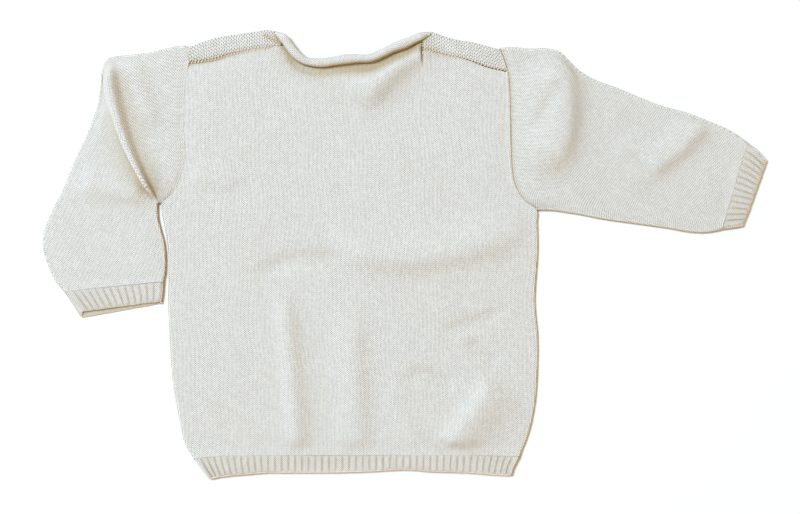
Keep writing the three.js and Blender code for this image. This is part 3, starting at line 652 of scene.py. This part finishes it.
def make_hem_front(side):
    """The hem of a front, which is hidden and plain."""
    opening = CENTRE + side * OPENING

    def inner(y):
        return np.full_like(y, opening)

    def line(rows, u):
        if side < 0:
            return read(rows, "x", "y", mix(rows["x"][0], opening, u))
        return read(rows, "x", "y", mix(opening, rows["x"][-1], u))

    def lower(u):
        return line(HEM_BOTTOM, u)

    def upper(u):
        return line(HEM_TOP, u) - CLOSE

    grid = panel(
        spaced(100, 1.2), spaced(HEM_WIDTH, 2), lower, upper, left_x if side < 0 else inner,
        inner if side < 0 else right_x, UNDER, 1, flat, (side < 0, side > 0),
    )
    name = f"hem_front_{side_word(side)}"
    edges[name] = grid[0]
    return shell(name + "_rib", grid, [(0, planar(grid))], high=WALL)


# Sleeves and cuffs

def edge_directions(rows):
    """The directions out of a flat sleeve at both ends of each ring, square to its edges."""
    ends = [np.stack([rows[key + "x"], rows[key + "y"]], -1) for key in "ab"]
    across = ends[1] - ends[0]
    found = {}
    for key, end, towards in zip("ab", ends, (-1, 1)):
        along = unit(np.gradient(end, axis=0))
        square = np.stack([along[:, 1], -along[:, 0]], -1)
        facing = np.sign((square * across).sum(-1)) * towards
        found[f"out_{key}x"] = square[:, 0] * facing
        found[f"out_{key}y"] = square[:, 1] * facing
    return found


def stations(rows, s):
    """A sleeve's rings at any place between its first and last row."""
    rows = {"i": np.arange(len(rows["ax"]), dtype=float), **rows, **edge_directions(rows)}
    return {key: read(rows, "i", key, s) for key in rows}


def ring_line(ring, t):
    """The points at shares t of each ring's line from edge a to edge b, straight or bowed."""
    a = np.stack([ring["ax"], ring["ay"]], -1)[:, None]
    b = np.stack([ring["bx"], ring["by"]], -1)[:, None]
    t = np.asarray(t)[None, :, None]
    along = unit(b - a)
    sideways = np.stack([along[..., 1], -along[..., 0]], -1)
    bow = ring.get("bow", np.zeros(len(a)))[:, None, None]
    return mix(a, b, t) - 4 * bow * sideways * t * (1 - t)


def flat_tube(ring, over, under, lift, mouth=STRAIGHT_MOUTH):
    """Rings of a sleeve lying flat: over from edge a to edge b, round the fold, back under, and round."""
    out_a = unit(np.stack([ring["out_ax"], ring["out_ay"]], -1))
    out_b = unit(np.stack([ring["out_bx"], ring["out_by"]], -1))
    rows = len(ring["ax"])

    def inset(t):
        line = ring_line(ring, t)
        t = np.asarray(t)[None, :, None]
        return line - FOLD_REACH * (out_a[:, None] * (1 - t) + out_b[:, None] * t)

    def shifted(points, t, share, z):
        opening = np.asarray(mouth, float).reshape(-1, 4)
        t = np.asarray(t)[None, :]
        x = points[..., 0] + share * mix(opening[:, 0:1], opening[:, 2:3], t)
        y = points[..., 1] + share * mix(opening[:, 1:2], opening[:, 3:4], t)
        return np.stack([x, y, np.broadcast_to(z, x.shape)], -1)

    def fold(t, outward, angles):
        sine, cosine = np.sin(angles), np.cos(angles)
        points = inset([t]) + outward[:, None] * (TURN * cosine)[None, :, None]
        return shifted(points, [t] * len(angles), (1 - sine) / 2, FOLD_CENTRE + TURN * sine)

    angles = np.radians(np.linspace(90, -90, FOLD_POINTS)[1:-1])
    top = inset(over)
    top = shifted(top, over, 0, OVER + lift(top, np.asarray(over)[None, :]))
    bottom = shifted(inset(under), under, 1, UNDER)
    grid = [top, fold(1, out_b, angles), bottom, fold(0, out_a, angles[::-1])]
    return np.concatenate(grid, 1).reshape(rows, -1, 3)


def tube_shell(name, grid, cloth, flip, **limits):
    """A shell round rings, with the ring's way reversed where the sleeve points left."""
    turn = slice(None, None, -1 if flip else 1)
    if "relief" in limits:
        limits["relief"] = limits["relief"][:, turn]
    grid = grid[:, turn]
    around = np.linalg.norm(grid[:, 0] - grid[:, -1], axis=-1)
    patches = []
    for first, places in cloth:
        places = places[:, turn]
        closed = np.concatenate([places, places[:, :1]], 1)
        closed[:, -1, 0] = places[:, -1, 0] + np.sign(places[:, -1, 0] - places[:, 0, 0]) * around
        patches.append((first, closed))
    return shell(name, grid, patches, ring=True, **limits)


def make_sleeve(side, rows, creases, step, turned_from=None):
    """A sleeve from the armhole to the cuff's seam. Beyond a fold its stitches lie at another angle."""
    edge = left_x if side < 0 else right_x
    last = len(rows["ax"]) - 1
    s = spaced(last, step) * last
    ring = stations(rows, s)
    over = spaced(SLEEVE_WIDTH)
    under = spaced(SLEEVE_WIDTH, 3 * GRAIN)[::-1]
    spine = [mix(ring["a" + key], ring["b" + key], SPINE) for key in "xy"]
    length = run_length(np.stack(spine, -1), 0)
    from_side = np.minimum(over, 1 - over)
    ends = smooth(np.minimum(s, last - s) / 2)[:, None]
    raised = ring["lift"][:, None] * smooth(from_side / FOLD_FADE)

    def lift(points, t):
        x, y = points[..., 0], points[..., 1]
        creased = crease_height(creases, x, y) + SLEEVE_PUFF + SLEEVE_UNEVENNESS * undulation(x, y)
        seams = ridge(length, *SLEEVE_GROOVES[side_word(side)]) + ridge(length[-1] - length, *CUFF_RISE)
        return raised + creased * ends * smooth(from_side / SLEEVE_FADE) + seams[:, None]

    grid = flat_tube(ring, over, under, lift)
    seam = edge(grid[:1, :, 1]) + side * CLOSE - grid[:1, :, 0]
    grid[..., 0] += ring["curve"][:, None] * seam
    name = f"sleeve_{side_word(side)}_tube"
    edges[name] = grid[0, : len(over)]
    around = run_length(grid, 1)
    middle = around[:, len(over) // 2][:, None]
    along = run_length(grid, 0)
    even = mix(along, length[:, None] * along[-1:].mean() / length[-1], EVENNESS)
    cloth = [(0, np.stack([around - middle, -even], -1))]
    if turned_from is not None:
        cloth.append((np.searchsorted(s, turned_from), turned_place(grid, BELOW_FOLD)))
    return tube_shell(name, grid, cloth, side < 0)


def make_sleeve_right():
    return make_sleeve(1, STRAIGHT_SLEEVE, STRAIGHT_CREASES, 0.14)


def make_sleeve_left():
    fan = np.radians(FOLDED_FAN["fan"])
    rows = {
        "ax": np.concatenate([FOLDED_FAN["ax"], FOLDED_REACH["ax"]]),
        "ay": np.concatenate([FOLDED_FAN["ay"], FOLDED_REACH["ay"]]),
        "bx": np.concatenate([FAN_X + FAN_RADIUS * np.cos(fan), FOLDED_REACH["bx"]]),
        "by": np.concatenate([FAN_Y + FAN_RADIUS * np.sin(fan), FOLDED_REACH["by"]]),
    }
    spare = np.zeros(len(FOLDED_REACH["ax"]))
    for key in ("curve", "bow", "lift"):
        rows[key] = np.concatenate([FOLDED_FAN[key], spare])
    return make_sleeve(-1, rows, FOLDED_CREASES, 0.15, turned_from=FOLD_RING)


def make_cuff(side, rows, mouth):
    """A ribbed cuff, from the sleeve's end to its mouth."""
    s = spaced(2, 0.18)
    ring = stations(rows, s * 2)
    over = np.linspace(0, 1, CUFF_RIBS * RIB_POINTS + 1)
    under = spaced(CUFF_WIDTH, 2)[::-1]
    wide = np.asarray(mouth, float)[None] * s[:, None]

    def lift(points, t):
        return CUFF_WAVE * np.sin(points[..., 0] / 9) * smooth(np.minimum(t, 1 - t) / 0.2)

    grid = flat_tube(ring, over, under, lift, mouth=wide)
    across = run_length(grid[:, : len(over)], 1)
    relief = np.zeros(grid.shape[:2])
    wave = mix(RIB_HEIGHT, rib_wave(over * CUFF_RIBS), smooth(s / CUFF_RIB_START)[:, None])
    relief[:, : len(over)] = wave * smooth((1 - s) / CUFF_RIB_END)[:, None]
    name = f"cuff_{side_word(side)}_rib"
    edges[name] = np.concatenate([grid[-1], grid[-1, :1]])
    wales = (run_length(grid, 1) / across[:, -1:] * CUFF_RIBS * RIB_WALES + 0.5) * WALE
    cloth = np.stack([wales, -run_length(grid, 0)], -1)
    return tube_shell(name, grid, [(0, cloth)], side < 0, relief=relief)


# Neck and front bands

def make_neckband_back():
    """The rolled edge: the knitting leaves the panel, turns up and curls back over itself."""
    x = mix(ROLL_LINE["x"][0], ROLL_LINE["x"][-1], spaced(ROLL_LENGTH, 0.9))
    centre = np.stack([x, read(ROLL_LINE, "x", "y", x)], -1)
    # Twice over, the points are moved along the line until they are evenly spaced
    for _ in range(2):
        length = run_length(centre, 0)
        x = np.interp(np.linspace(0, length[-1], len(x)), length, x)
        centre = np.stack([x, read(ROLL_LINE, "x", "y", x)], -1)
    length = run_length(centre, 0)[:, None]
    along = unit(np.gradient(centre, axis=0))
    tip = smooth(np.minimum(length, length[-1] - length) / TIP_LENGTH)
    swell = (1 + 0.1 * np.sin(length / 7) + 0.06 * np.sin(length / 3.1 + 1)) * mix(TIP_SIZE, 1, tip)
    angle = np.radians(np.linspace(ROLL_START, ROLL_END, ROLL_POINTS))
    out = ROLL_WIDTH * np.cos(angle) * swell
    z = mix(TIP_HEIGHT, ROLL_LIFT, tip) + ROLL_DEPTH * np.sin(angle) * swell
    grid = np.stack([centre[:, :1] - along[:, 1:] * out, centre[:, 1:] + along[:, :1] * out, z], -1)
    cloth = np.stack([np.repeat(length, len(angle), 1), run_length(grid, 1)], -1)
    return shell("neckband_back_roll", grid, [(0, cloth)], low=WALL + LAYER / 2)


def make_neckband_front(side):
    """A flat band inside a front's neck edge, up to the line of the roll at the back."""
    opening = CENTRE + side * OPENING
    top = front_top(side)
    inset = mix(0.15, NECKBAND_WIDTH, spaced(NECKBAND_WIDTH, 1.2))[None]
    reach = NECK_HALF - OPENING
    behind = np.minimum(read(ROLL_LINE, "x", "y", opening + side * (reach - inset)), top)
    angle = spaced(70, 1.5)[:, None] * np.arccos((top - behind) / (NECK_DEPTH - inset))
    x = opening + side * (reach - inset) * np.sin(angle)
    y = top - (NECK_DEPTH - inset) * np.cos(angle)
    grid = np.stack([x, y, np.full(x.shape, UNDER)], -1)
    cloth = np.stack([run_length(grid, 0), np.broadcast_to(inset, x.shape)], -1)
    return shell(f"neckband_front_{side_word(side)}_strip", grid, [(0, cloth)], high=WALL)


def make_front_band(side):
    """A flat band down a front's opening, from the neckband to the hem's edge."""
    near = CENTRE + side * 0.1
    far = CENTRE + side * BAND_WIDTH
    left, right = (far, near) if side < 0 else (near, far)
    v = spaced(BAND_LENGTH, 3)[:, None]
    x = mix(left, right, spaced(BAND_WIDTH, 1.2))[None] + 0 * v
    y = mix(read(HEM_BOTTOM, "x", "y", x), front_top(side) - NECK_DEPTH + NECKBAND_WIDTH, v)
    grid = np.stack([x, y, np.full(x.shape, UNDER)], -1)
    return shell(f"front_band_{side_word(side)}_strip", grid, [(0, planar(grid))], high=WALL)


# Finishes

class Number:
    """A shader value. Sums and products of it add Math nodes."""

    def __init__(self, finish, socket):
        self.finish = finish
        self.socket = socket

    def math(self, operation, *others, swapped=False):
        terms = [self, *others]
        if swapped:
            terms.reverse()
        node = self.finish.node("ShaderNodeMath", {"operation": operation}, dict(enumerate(terms)))
        return Number(self.finish, node.outputs[0])

    def __add__(self, other):
        return self.math("ADD", other)

    def __radd__(self, other):
        return self.math("ADD", other)

    def __sub__(self, other):
        return self.math("SUBTRACT", other)

    def __rsub__(self, other):
        return self.math("SUBTRACT", other, swapped=True)

    def __mul__(self, other):
        return self.math("MULTIPLY", other)

    def __rmul__(self, other):
        return self.math("MULTIPLY", other)

    def __truediv__(self, other):
        return self.math("DIVIDE", other)

    def __pow__(self, other):
        return self.math("POWER", other)

    def __abs__(self):
        return self.math("ABSOLUTE")


class Finish:
    """One material's nodes."""

    def __init__(self, name):
        self.material = bpy.data.materials.new(name)
        self.material.use_nodes = True
        self.tree = self.material.node_tree
        self.tree.nodes.clear()

    def node(self, kind, settings, sockets):
        node = self.tree.nodes.new(kind)
        for key, value in settings.items():
            setattr(node, key, value)
        for key, value in sockets.items():
            self.feed(node.inputs[key], value)
        return node

    def feed(self, socket, value):
        if isinstance(value, Number):
            value = value.socket
        if isinstance(value, bpy.types.NodeSocket):
            self.tree.links.new(value, socket)
        else:
            socket.default_value = value

    def value(self, socket):
        return Number(self, socket)

    def blend(self, factor, first, second, kind="MIX"):
        """Two colours mixed. A Mix node's colours are its inputs 6 and 7 and its output 2."""
        settings = {"data_type": "RGBA", "blend_type": kind}
        node = self.node("ShaderNodeMix", settings, {"Factor": factor})
        self.feed(node.inputs[6], first)
        self.feed(node.inputs[7], second)
        return node.outputs[2]

    def noise(self, place, scale, detail, dimensions="3D"):
        sockets = {"Vector": place, "Scale": scale, "Detail": detail}
        node = self.node("ShaderNodeTexNoise", {"noise_dimensions": dimensions}, sockets)
        return self.value(node.outputs["Fac"])

    def bump(self, distance, height):
        sockets = {"Strength": 1.0, "Distance": distance * MM, "Height": height}
        return self.node("ShaderNodeBump", {}, sockets).outputs[0]

    def covered(self, sockets):
        """The finished material, with what is fed to its shader."""
        shader = self.node("ShaderNodeBsdfPrincipled", {}, sockets)
        self.node("ShaderNodeOutputMaterial", {}, {"Surface": shader.outputs[0]})
        return self.material


YARN_PALE = (0.86, 0.855, 0.82, 1)
YARN_WARM = (0.85, 0.83, 0.77, 1)
# Painted shade in the holes between the stitches' legs
YARN_HOLE_SHADE = (0.30, 0.255, 0.18, 1)
YARN_ROUGHNESS = 0.93
YARN_SHEEN = 0.2
# Painted shade in creases and hollows: a warm dark tint mixed into the cloth's colour where little open
# sky reaches it
CREASE_SHADE_TINT = (0.76, 0.62, 0.40, 1)
CREASE_SHADE_REACH = 16.0
CREASE_SHADE_START = 0.97  # the share of open sky where the tint begins
CREASE_SHADE_GAIN = 4.5
FLOOR_COLOUR = (0.93, 0.93, 0.925, 1)
FLOOR_ROUGHNESS = 0.9

# The drawing of one stitch, in shares of its width and height
STITCH_WANDER = 260.0
LEG_LEAN = 1.2  # how steeply a leg rises from the stitch's middle
LEG_NARROWING = 3.5  # the higher, the thinner a leg
LEG_SHORTENING = 1.7
HOLE_EDGE = 0.66  # the grain's height where the hole between the legs begins
HOLE_SHADE_GAIN = 1.6
VALLEY_SLOPE = 5
VALLEY_SHADE = 2.5


def painted_crease_shade(finish, colour):
    """Painted shade: the colour is darkened and warmed where the cloth sees little open sky, in creases
    and hollows and beside other cloth.
    """
    sockets = {"Distance": CREASE_SHADE_REACH * MM}
    open_sky = finish.node("ShaderNodeAmbientOcclusion", {"samples": 8}, sockets)
    shade_depth = (CREASE_SHADE_START - finish.value(open_sky.outputs["AO"])) * CREASE_SHADE_GAIN
    factor = shade_depth.math("MAXIMUM", 0.0).math("MINIMUM", 1.0)
    return finish.blend(factor, colour, CREASE_SHADE_TINT, "MULTIPLY")


def knit_finish(name, wale, course, relief, gap_shade=1.0, ribbed=False):
    """Stocking stitch drawn from the cloth's own coordinates: two leaning grains to each stitch."""
    finish = Finish(name)
    place = finish.node("ShaderNodeUVMap", {"uv_map": "knit"}, {}).outputs[0]
    drift = finish.noise(place, STITCH_WANDER, 1.0, "2D") - 0.5
    parts = finish.node("ShaderNodeSeparateXYZ", {}, {"Vector": place})
    column = finish.value(parts.outputs["X"]) / (wale * MM) + drift * 0.3
    row = finish.value(parts.outputs["Y"]) / (course * MM) + drift * 0.5
    across = abs(column.math("FRACT") - 0.5)
    lean = row - across * LEG_LEAN
    side = (across - 0.25) * LEG_NARROWING
    along = (lean.math("FRACT") - 0.5) * LEG_SHORTENING
    grain = (1 - side * side - along * along).math("MAXIMUM", 0.0) ** 0.5
    stitch = {"X": column.math("FLOOR"), "Y": lean.math("FLOOR")}
    number = finish.node("ShaderNodeCombineXYZ", {}, stitch).outputs[0]
    chance = finish.node("ShaderNodeTexWhiteNoise", {"noise_dimensions": "2D"}, {"Vector": number})
    uneven = finish.value(chance.outputs["Value"])
    room = finish.node("ShaderNodeTexCoord", {}, {}).outputs["Object"]
    patch = finish.noise(room, 22.0, 3.0)
    fuzz = finish.noise(room, 2600.0, 2.0)
    yarn = finish.blend((patch - 0.3) * 1.6, YARN_PALE, YARN_WARM)
    # Painted shade in the holes between the legs, scaled by how open the knit is
    hole_shade = ((HOLE_EDGE - grain) * HOLE_SHADE_GAIN * gap_shade).math("MAXIMUM", 0.0) * (uneven * 0.9 + 0.6)
    if ribbed:
        # The ribs' valleys get deeper painted shade in their holes
        from_valley = abs(((column - 0.5) / RIB_WALES + 0.5).math("FRACT") - 0.5)
        valley = (1 - from_valley * VALLEY_SLOPE).math("MAXIMUM", 0.0)
        hole_shade = hole_shade * (1 + valley * VALLEY_SHADE)
    knitted = finish.blend(hole_shade.math("MINIMUM", 1.0), yarn, YARN_HOLE_SHADE)
    surface = grain * (uneven * 0.3 + 0.85) + fuzz * 0.2
    return finish.covered({
        # The base colour carries painted shade in creases and hollows
        "Base Color": painted_crease_shade(finish, knitted),
        "Roughness": YARN_ROUGHNESS,
        "Normal": finish.bump(relief, surface),
        "Sheen Weight": YARN_SHEEN,
        "Sheen Roughness": 0.6,
        "Specular IOR Level": 0.2,
    })


def yarn_finish(name):
    """Plain twisted yarn, for the stitches that join the pieces."""
    finish = Finish(name)
    room = finish.node("ShaderNodeTexCoord", {}, {}).outputs["Object"]
    fibre = finish.noise(room, 1500.0, 3.0)
    return finish.covered({
        # The yarn's colour carries painted shade in creases and hollows
        "Base Color": painted_crease_shade(finish, finish.blend(fibre, YARN_PALE, YARN_WARM)),
        "Roughness": YARN_ROUGHNESS,
        "Normal": finish.bump(0.2, fibre),
        "Sheen Weight": YARN_SHEEN,
    })


def floor_finish():
    return Finish("pale_floor").covered({"Base Color": FLOOR_COLOUR, "Roughness": FLOOR_ROUGHNESS})


stocking = knit_finish("cream_stocking_stitch", WALE, COURSE, 0.42)
# The looser strips carry more painted shade in their holes, which also stands in for the shading of the
# strips
loose = knit_finish("cream_loose_stitch", LOOSE_WALE, LOOSE_COURSE, 0.55, gap_shade=2.4)
ribbing = knit_finish("cream_rib_stitch", WALE, RIB_COURSE, 0.36, gap_shade=1.1, ribbed=True)
linking = yarn_finish("cream_yarn")

KNIT = "cotton_knit"
RIB = "cotton_rib"
# Pieces: what each replaces, its slot, its cut in metres, its area where the cut isn't a plain oblong,
# and what it rests on
PIECES = [
    (make_back(), "back", KNIT, (0.264, 0.292), 0.068, ["front_left", "front_right"]),
    (make_front(-1), "front_left", KNIT, (0.121, 0.31), 0.031, []),
    (make_front(1), "front_right", KNIT, (0.118, 0.31), 0.0302, []),
    (make_sleeve_left(), "sleeve_left", KNIT, (0.236, 0.165), 0.029, []),
    (make_sleeve_right(), "sleeve_right", KNIT, (0.236, 0.165), 0.029, []),
    (make_cuff(-1, FOLDED_CUFF, FOLDED_MOUTH), "cuff_left", RIB, (0.126, 0.0145), None, []),
    (make_cuff(1, STRAIGHT_CUFF, STRAIGHT_MOUTH), "cuff_right", RIB, (0.126, 0.0145), None, []),
    (make_hem_back(), "hem_back", RIB, (0.225, 0.0135), None, ["hem_front_left", "hem_front_right"]),
    (make_hem_front(-1), "hem_front_left", RIB, (0.095, 0.0125), None, []),
    (make_hem_front(1), "hem_front_right", RIB, (0.1, 0.0125), None, []),
    (make_neckband_back(), "neckband_back", KNIT, (0.118, 0.0148), 0.0017, []),
    (make_neckband_front(-1), "neckband_front_left", KNIT, None, None, []),
    (make_neckband_front(1), "neckband_front_right", KNIT, None, None, []),
    (make_front_band(-1), "front_band_left", RIB, (0.259, 0.014), None, []),
    (make_front_band(1), "front_band_right", RIB, (0.259, 0.014), None, []),
]
# Each piece gets its finish, the part it replaces is hidden, and it joins the root
# body. The edgings that are too narrow to be sheets of their own
for piece, node, slot, cut, area, under in PIECES:
    piece.data.materials.append(stocking if slot == KNIT else ribbing)
    if node in ("front_left", "front_right"):
        piece.data.materials.append(loose)
    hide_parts(node)
    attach(piece, "root")

# Stitches along the seams and the cast-off edges
STITCH_SEED = 3
SMALL_STITCH = 0.85
LARGE_STITCH = 1.15


def stitch_row_group():
    """Geometry Nodes: a short bent length of yarn at every step of a path."""
    group = bpy.data.node_groups.new("row_of_stitches", "GeometryNodeTree")
    group.interface.new_socket("Path", in_out="INPUT", socket_type="NodeSocketGeometry")
    for name in ("Pitch", "Along", "Across", "Rise", "Thickness"):
        group.interface.new_socket(name, in_out="INPUT", socket_type="NodeSocketFloat")
    group.interface.new_socket("Material", in_out="INPUT", socket_type="NodeSocketMaterial")
    group.interface.new_socket("Stitches", in_out="OUTPUT", socket_type="NodeSocketGeometry")

    def node(kind, settings=None, **sockets):
        made = group.nodes.new(kind)
        for key, value in (settings or {}).items():
            setattr(made, key, value)
        for key, value in sockets.items():
            socket = made.inputs[key.replace("_", " ")]
            if isinstance(value, bpy.types.NodeSocket):
                group.links.new(value, socket)
            else:
                socket.default_value = value
        return made

    def product(value, factor):
        made = node("ShaderNodeMath", {"operation": "MULTIPLY"}, Value=value)
        made.inputs[1].default_value = factor
        return made.outputs[0]

    given = node("NodeGroupInput").outputs
    start = node("ShaderNodeCombineXYZ", X=product(given["Along"], -1), Y=product(given["Across"], -1))
    middle = node("ShaderNodeCombineXYZ", Z=given["Rise"])
    end = node("ShaderNodeCombineXYZ", X=given["Along"], Y=given["Across"])
    bow = node(
        "GeometryNodeCurveQuadraticBezier", Resolution=5, Start=start.outputs[0],
        Middle=middle.outputs[0], End=end.outputs[0],
    )
    ring = node(
        "GeometryNodeCurvePrimitiveCircle", Resolution=7, Radius=product(given["Thickness"], 0.5)
    )
    yarn = node(
        "GeometryNodeCurveToMesh", Curve=bow.outputs[0], Profile_Curve=ring.outputs[0], Fill_Caps=True
    )
    path = node("GeometryNodeMeshToCurve", Mesh=given["Path"])
    even = node(
        "GeometryNodeResampleCurve", {"mode": "LENGTH"}, Curve=path.outputs[0], Length=given["Pitch"]
    )
    tangent = node("GeometryNodeInputTangent")
    turned = node(
        "FunctionNodeAlignRotationToVector", {"axis": "X", "pivot_axis": "Z"}, Vector=tangent.outputs[0]
    )
    # A Random Value node's plain numbers are its inputs 2 and 3 and its output 1
    size = node("FunctionNodeRandomValue", {"data_type": "FLOAT"}, Seed=STITCH_SEED)
    size.inputs[2].default_value = SMALL_STITCH
    size.inputs[3].default_value = LARGE_STITCH
    row = node(
        "GeometryNodeInstanceOnPoints", Points=even.outputs[0], Instance=yarn.outputs[0],
        Rotation=turned.outputs[0], Scale=size.outputs[1],
    )
    real = node("GeometryNodeRealizeInstances", Geometry=row.outputs[0])
    smooth_row = node("GeometryNodeSetShadeSmooth", Geometry=real.outputs[0])
    painted = node("GeometryNodeSetMaterial", Geometry=smooth_row.outputs[0], Material=given["Material"])
    result = node("NodeGroupOutput")
    group.links.new(painted.outputs[0], result.inputs[0])
    return group


def stitch_row(name, path, pitch, along, across, rise, thickness):
    """One row of stitches as a plain mesh piece."""
    mesh = bpy.data.meshes.new(name + "_path")
    links = [(i, i + 1) for i in range(len(path) - 1)]
    mesh.from_pydata((path * MM).tolist(), links, [])
    line = bpy.data.objects.new(name + "_path", mesh)
    bpy.context.collection.objects.link(line)
    modifier = line.modifiers.new("stitches", "NODES")
    modifier.node_group = STITCH_ROW
    values = {
        "Pitch": pitch * MM, "Along": along * MM, "Across": across * MM, "Rise": rise * MM,
        "Thickness": thickness * MM, "Material": linking,
    }
    for item in STITCH_ROW.interface.items_tree:
        if item.name in values:
            modifier[item.identifier] = values[item.name]
    evaluated = line.evaluated_get(bpy.context.evaluated_depsgraph_get())
    made = bpy.data.meshes.new_from_object(evaluated)
    bpy.data.objects.remove(line)
    piece = bpy.data.objects.new(name, made)
    bpy.context.collection.objects.link(piece)
    return piece


def raised_path(name, up, sideways=0.0):
    """An edge of a piece, moved up, and sideways down the garment."""
    return edges[name] + np.array([0, -sideways, up])


def joint(first, last):
    """A short straight seam on top of the cloth."""
    return np.array([[*first, OVER + WALL / 2 + 0.5], [*last, OVER + WALL / 2 + 0.3]])


STITCH_ROW = stitch_row_group()
STITCHES = [
    # name, path, pitch, along, across, rise, thickness
    ("shoulder_left_stitches", raised_path("front_left_panel", 0.2, 0.9), 2.3, 0.5, 1.1, 0.5, 0.75),
    ("shoulder_right_stitches", raised_path("front_right_panel", 0.2, 0.9), 2.3, 0.5, 1.1, 0.5, 0.75),
    ("neck_left_stitches", joint((-98.5, 154.4), (-87.5, 147.4)), 1.7, 0.3, 0.6, 0.3, 0.7),
    ("neck_right_stitches", joint((12.4, 151), (12.4, 143)), 1.5, 0.5, 0.8, 0.35, 0.9),
    ("armhole_left_stitches", raised_path("sleeve_left_tube", 0.5), 2.0, 0.3, 0.65, 0.3, 0.55),
    ("armhole_right_stitches", raised_path("sleeve_right_tube", 0.4), 2.0, 0.3, 0.65, 0.3, 0.55),
    ("hem_back_cast_off", raised_path("hem_back", 0.15), 1.5, 0.75, 0.25, 0.2, 1.25),
    ("hem_front_left_cast_off", raised_path("hem_front_left", 0), 1.5, 0.75, 0.2, 0, 1.2),
    ("hem_front_right_cast_off", raised_path("hem_front_right", 0), 1.5, 0.75, 0.2, 0, 1.2),
    ("cuff_left_cast_off", raised_path("cuff_left_rib", 0), 1.5, 0.75, 0.2, 0, 1.25),
    ("cuff_right_cast_off", raised_path("cuff_right_rib", 0), 1.5, 0.75, 0.2, 0, 1.25),
]
for row in STITCHES:
    piece = stitch_row(*row)
    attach(piece, "root")
    RIB if "cast_off" in row[0] else KNIT

# The floor, the light and the camera, in metres
FLOOR_REACH = 4
WINDOW_PLACE = (-2.1, 1.6, 4.25)
WINDOW_SIZE = 1.4
WINDOW_POWER = 278
WINDOW_COLOUR = (0.528, 0.744, 1.0)
ROOM_COLOUR = (1.0, 0.743, 0.421, 1)
ROOM_STRENGTH = 0.62
FRAME_WIDTH = 0.56
FRAME_CENTRE = (-0.0035, -0.0011)
LENS = 70.0  # of the camera, in millimetres
SENSOR = 36.0


def lay_floor():
    corners = [(x * FLOOR_REACH, y * FLOOR_REACH, 0) for x, y in ((-1, -1), (1, -1), (1, 1), (-1, 1))]
    mesh = bpy.data.meshes.new("floor")
    mesh.from_pydata(corners, [], [(0, 1, 2, 3)])
    floor = bpy.data.objects.new("floor", mesh)
    floor.data.materials.append(floor_finish())
    bpy.context.collection.objects.link(floor)


def light_window():
    """A soft cool light from high on the left. The room's own light is warm."""
    lamp = bpy.data.lights.new("window", "AREA")
    lamp.shape = "SQUARE"
    lamp.size = WINDOW_SIZE
    lamp.energy = WINDOW_POWER
    lamp.color = WINDOW_COLOUR
    window = bpy.data.objects.new("window", lamp)
    window.location = WINDOW_PLACE
    window.rotation_euler = (-Vector(WINDOW_PLACE)).to_track_quat("-Z", "Y").to_euler()
    window.visible_camera = False
    bpy.context.collection.objects.link(window)


def light_room():
    world = bpy.data.worlds.new("room_air")
    world.use_nodes = True
    sky = world.node_tree.nodes["Background"]
    sky.inputs["Color"].default_value = ROOM_COLOUR
    sky.inputs["Strength"].default_value = ROOM_STRENGTH
    bpy.context.scene.world = world


def set_camera():
    """A camera straight above, as high as its lens needs to see the frame's width."""
    data = bpy.data.cameras.new("camera")
    data.lens = LENS
    data.sensor_width = SENSOR
    camera = bpy.data.objects.new("camera", data)
    camera.location = (*FRAME_CENTRE, FRAME_WIDTH * LENS / SENSOR + OVER * MM)
    bpy.context.collection.objects.link(camera)
    bpy.context.scene.camera = camera


lay_floor()
light_window()
light_room()
set_camera()
bpy.context.scene.view_settings.view_transform = "Standard"
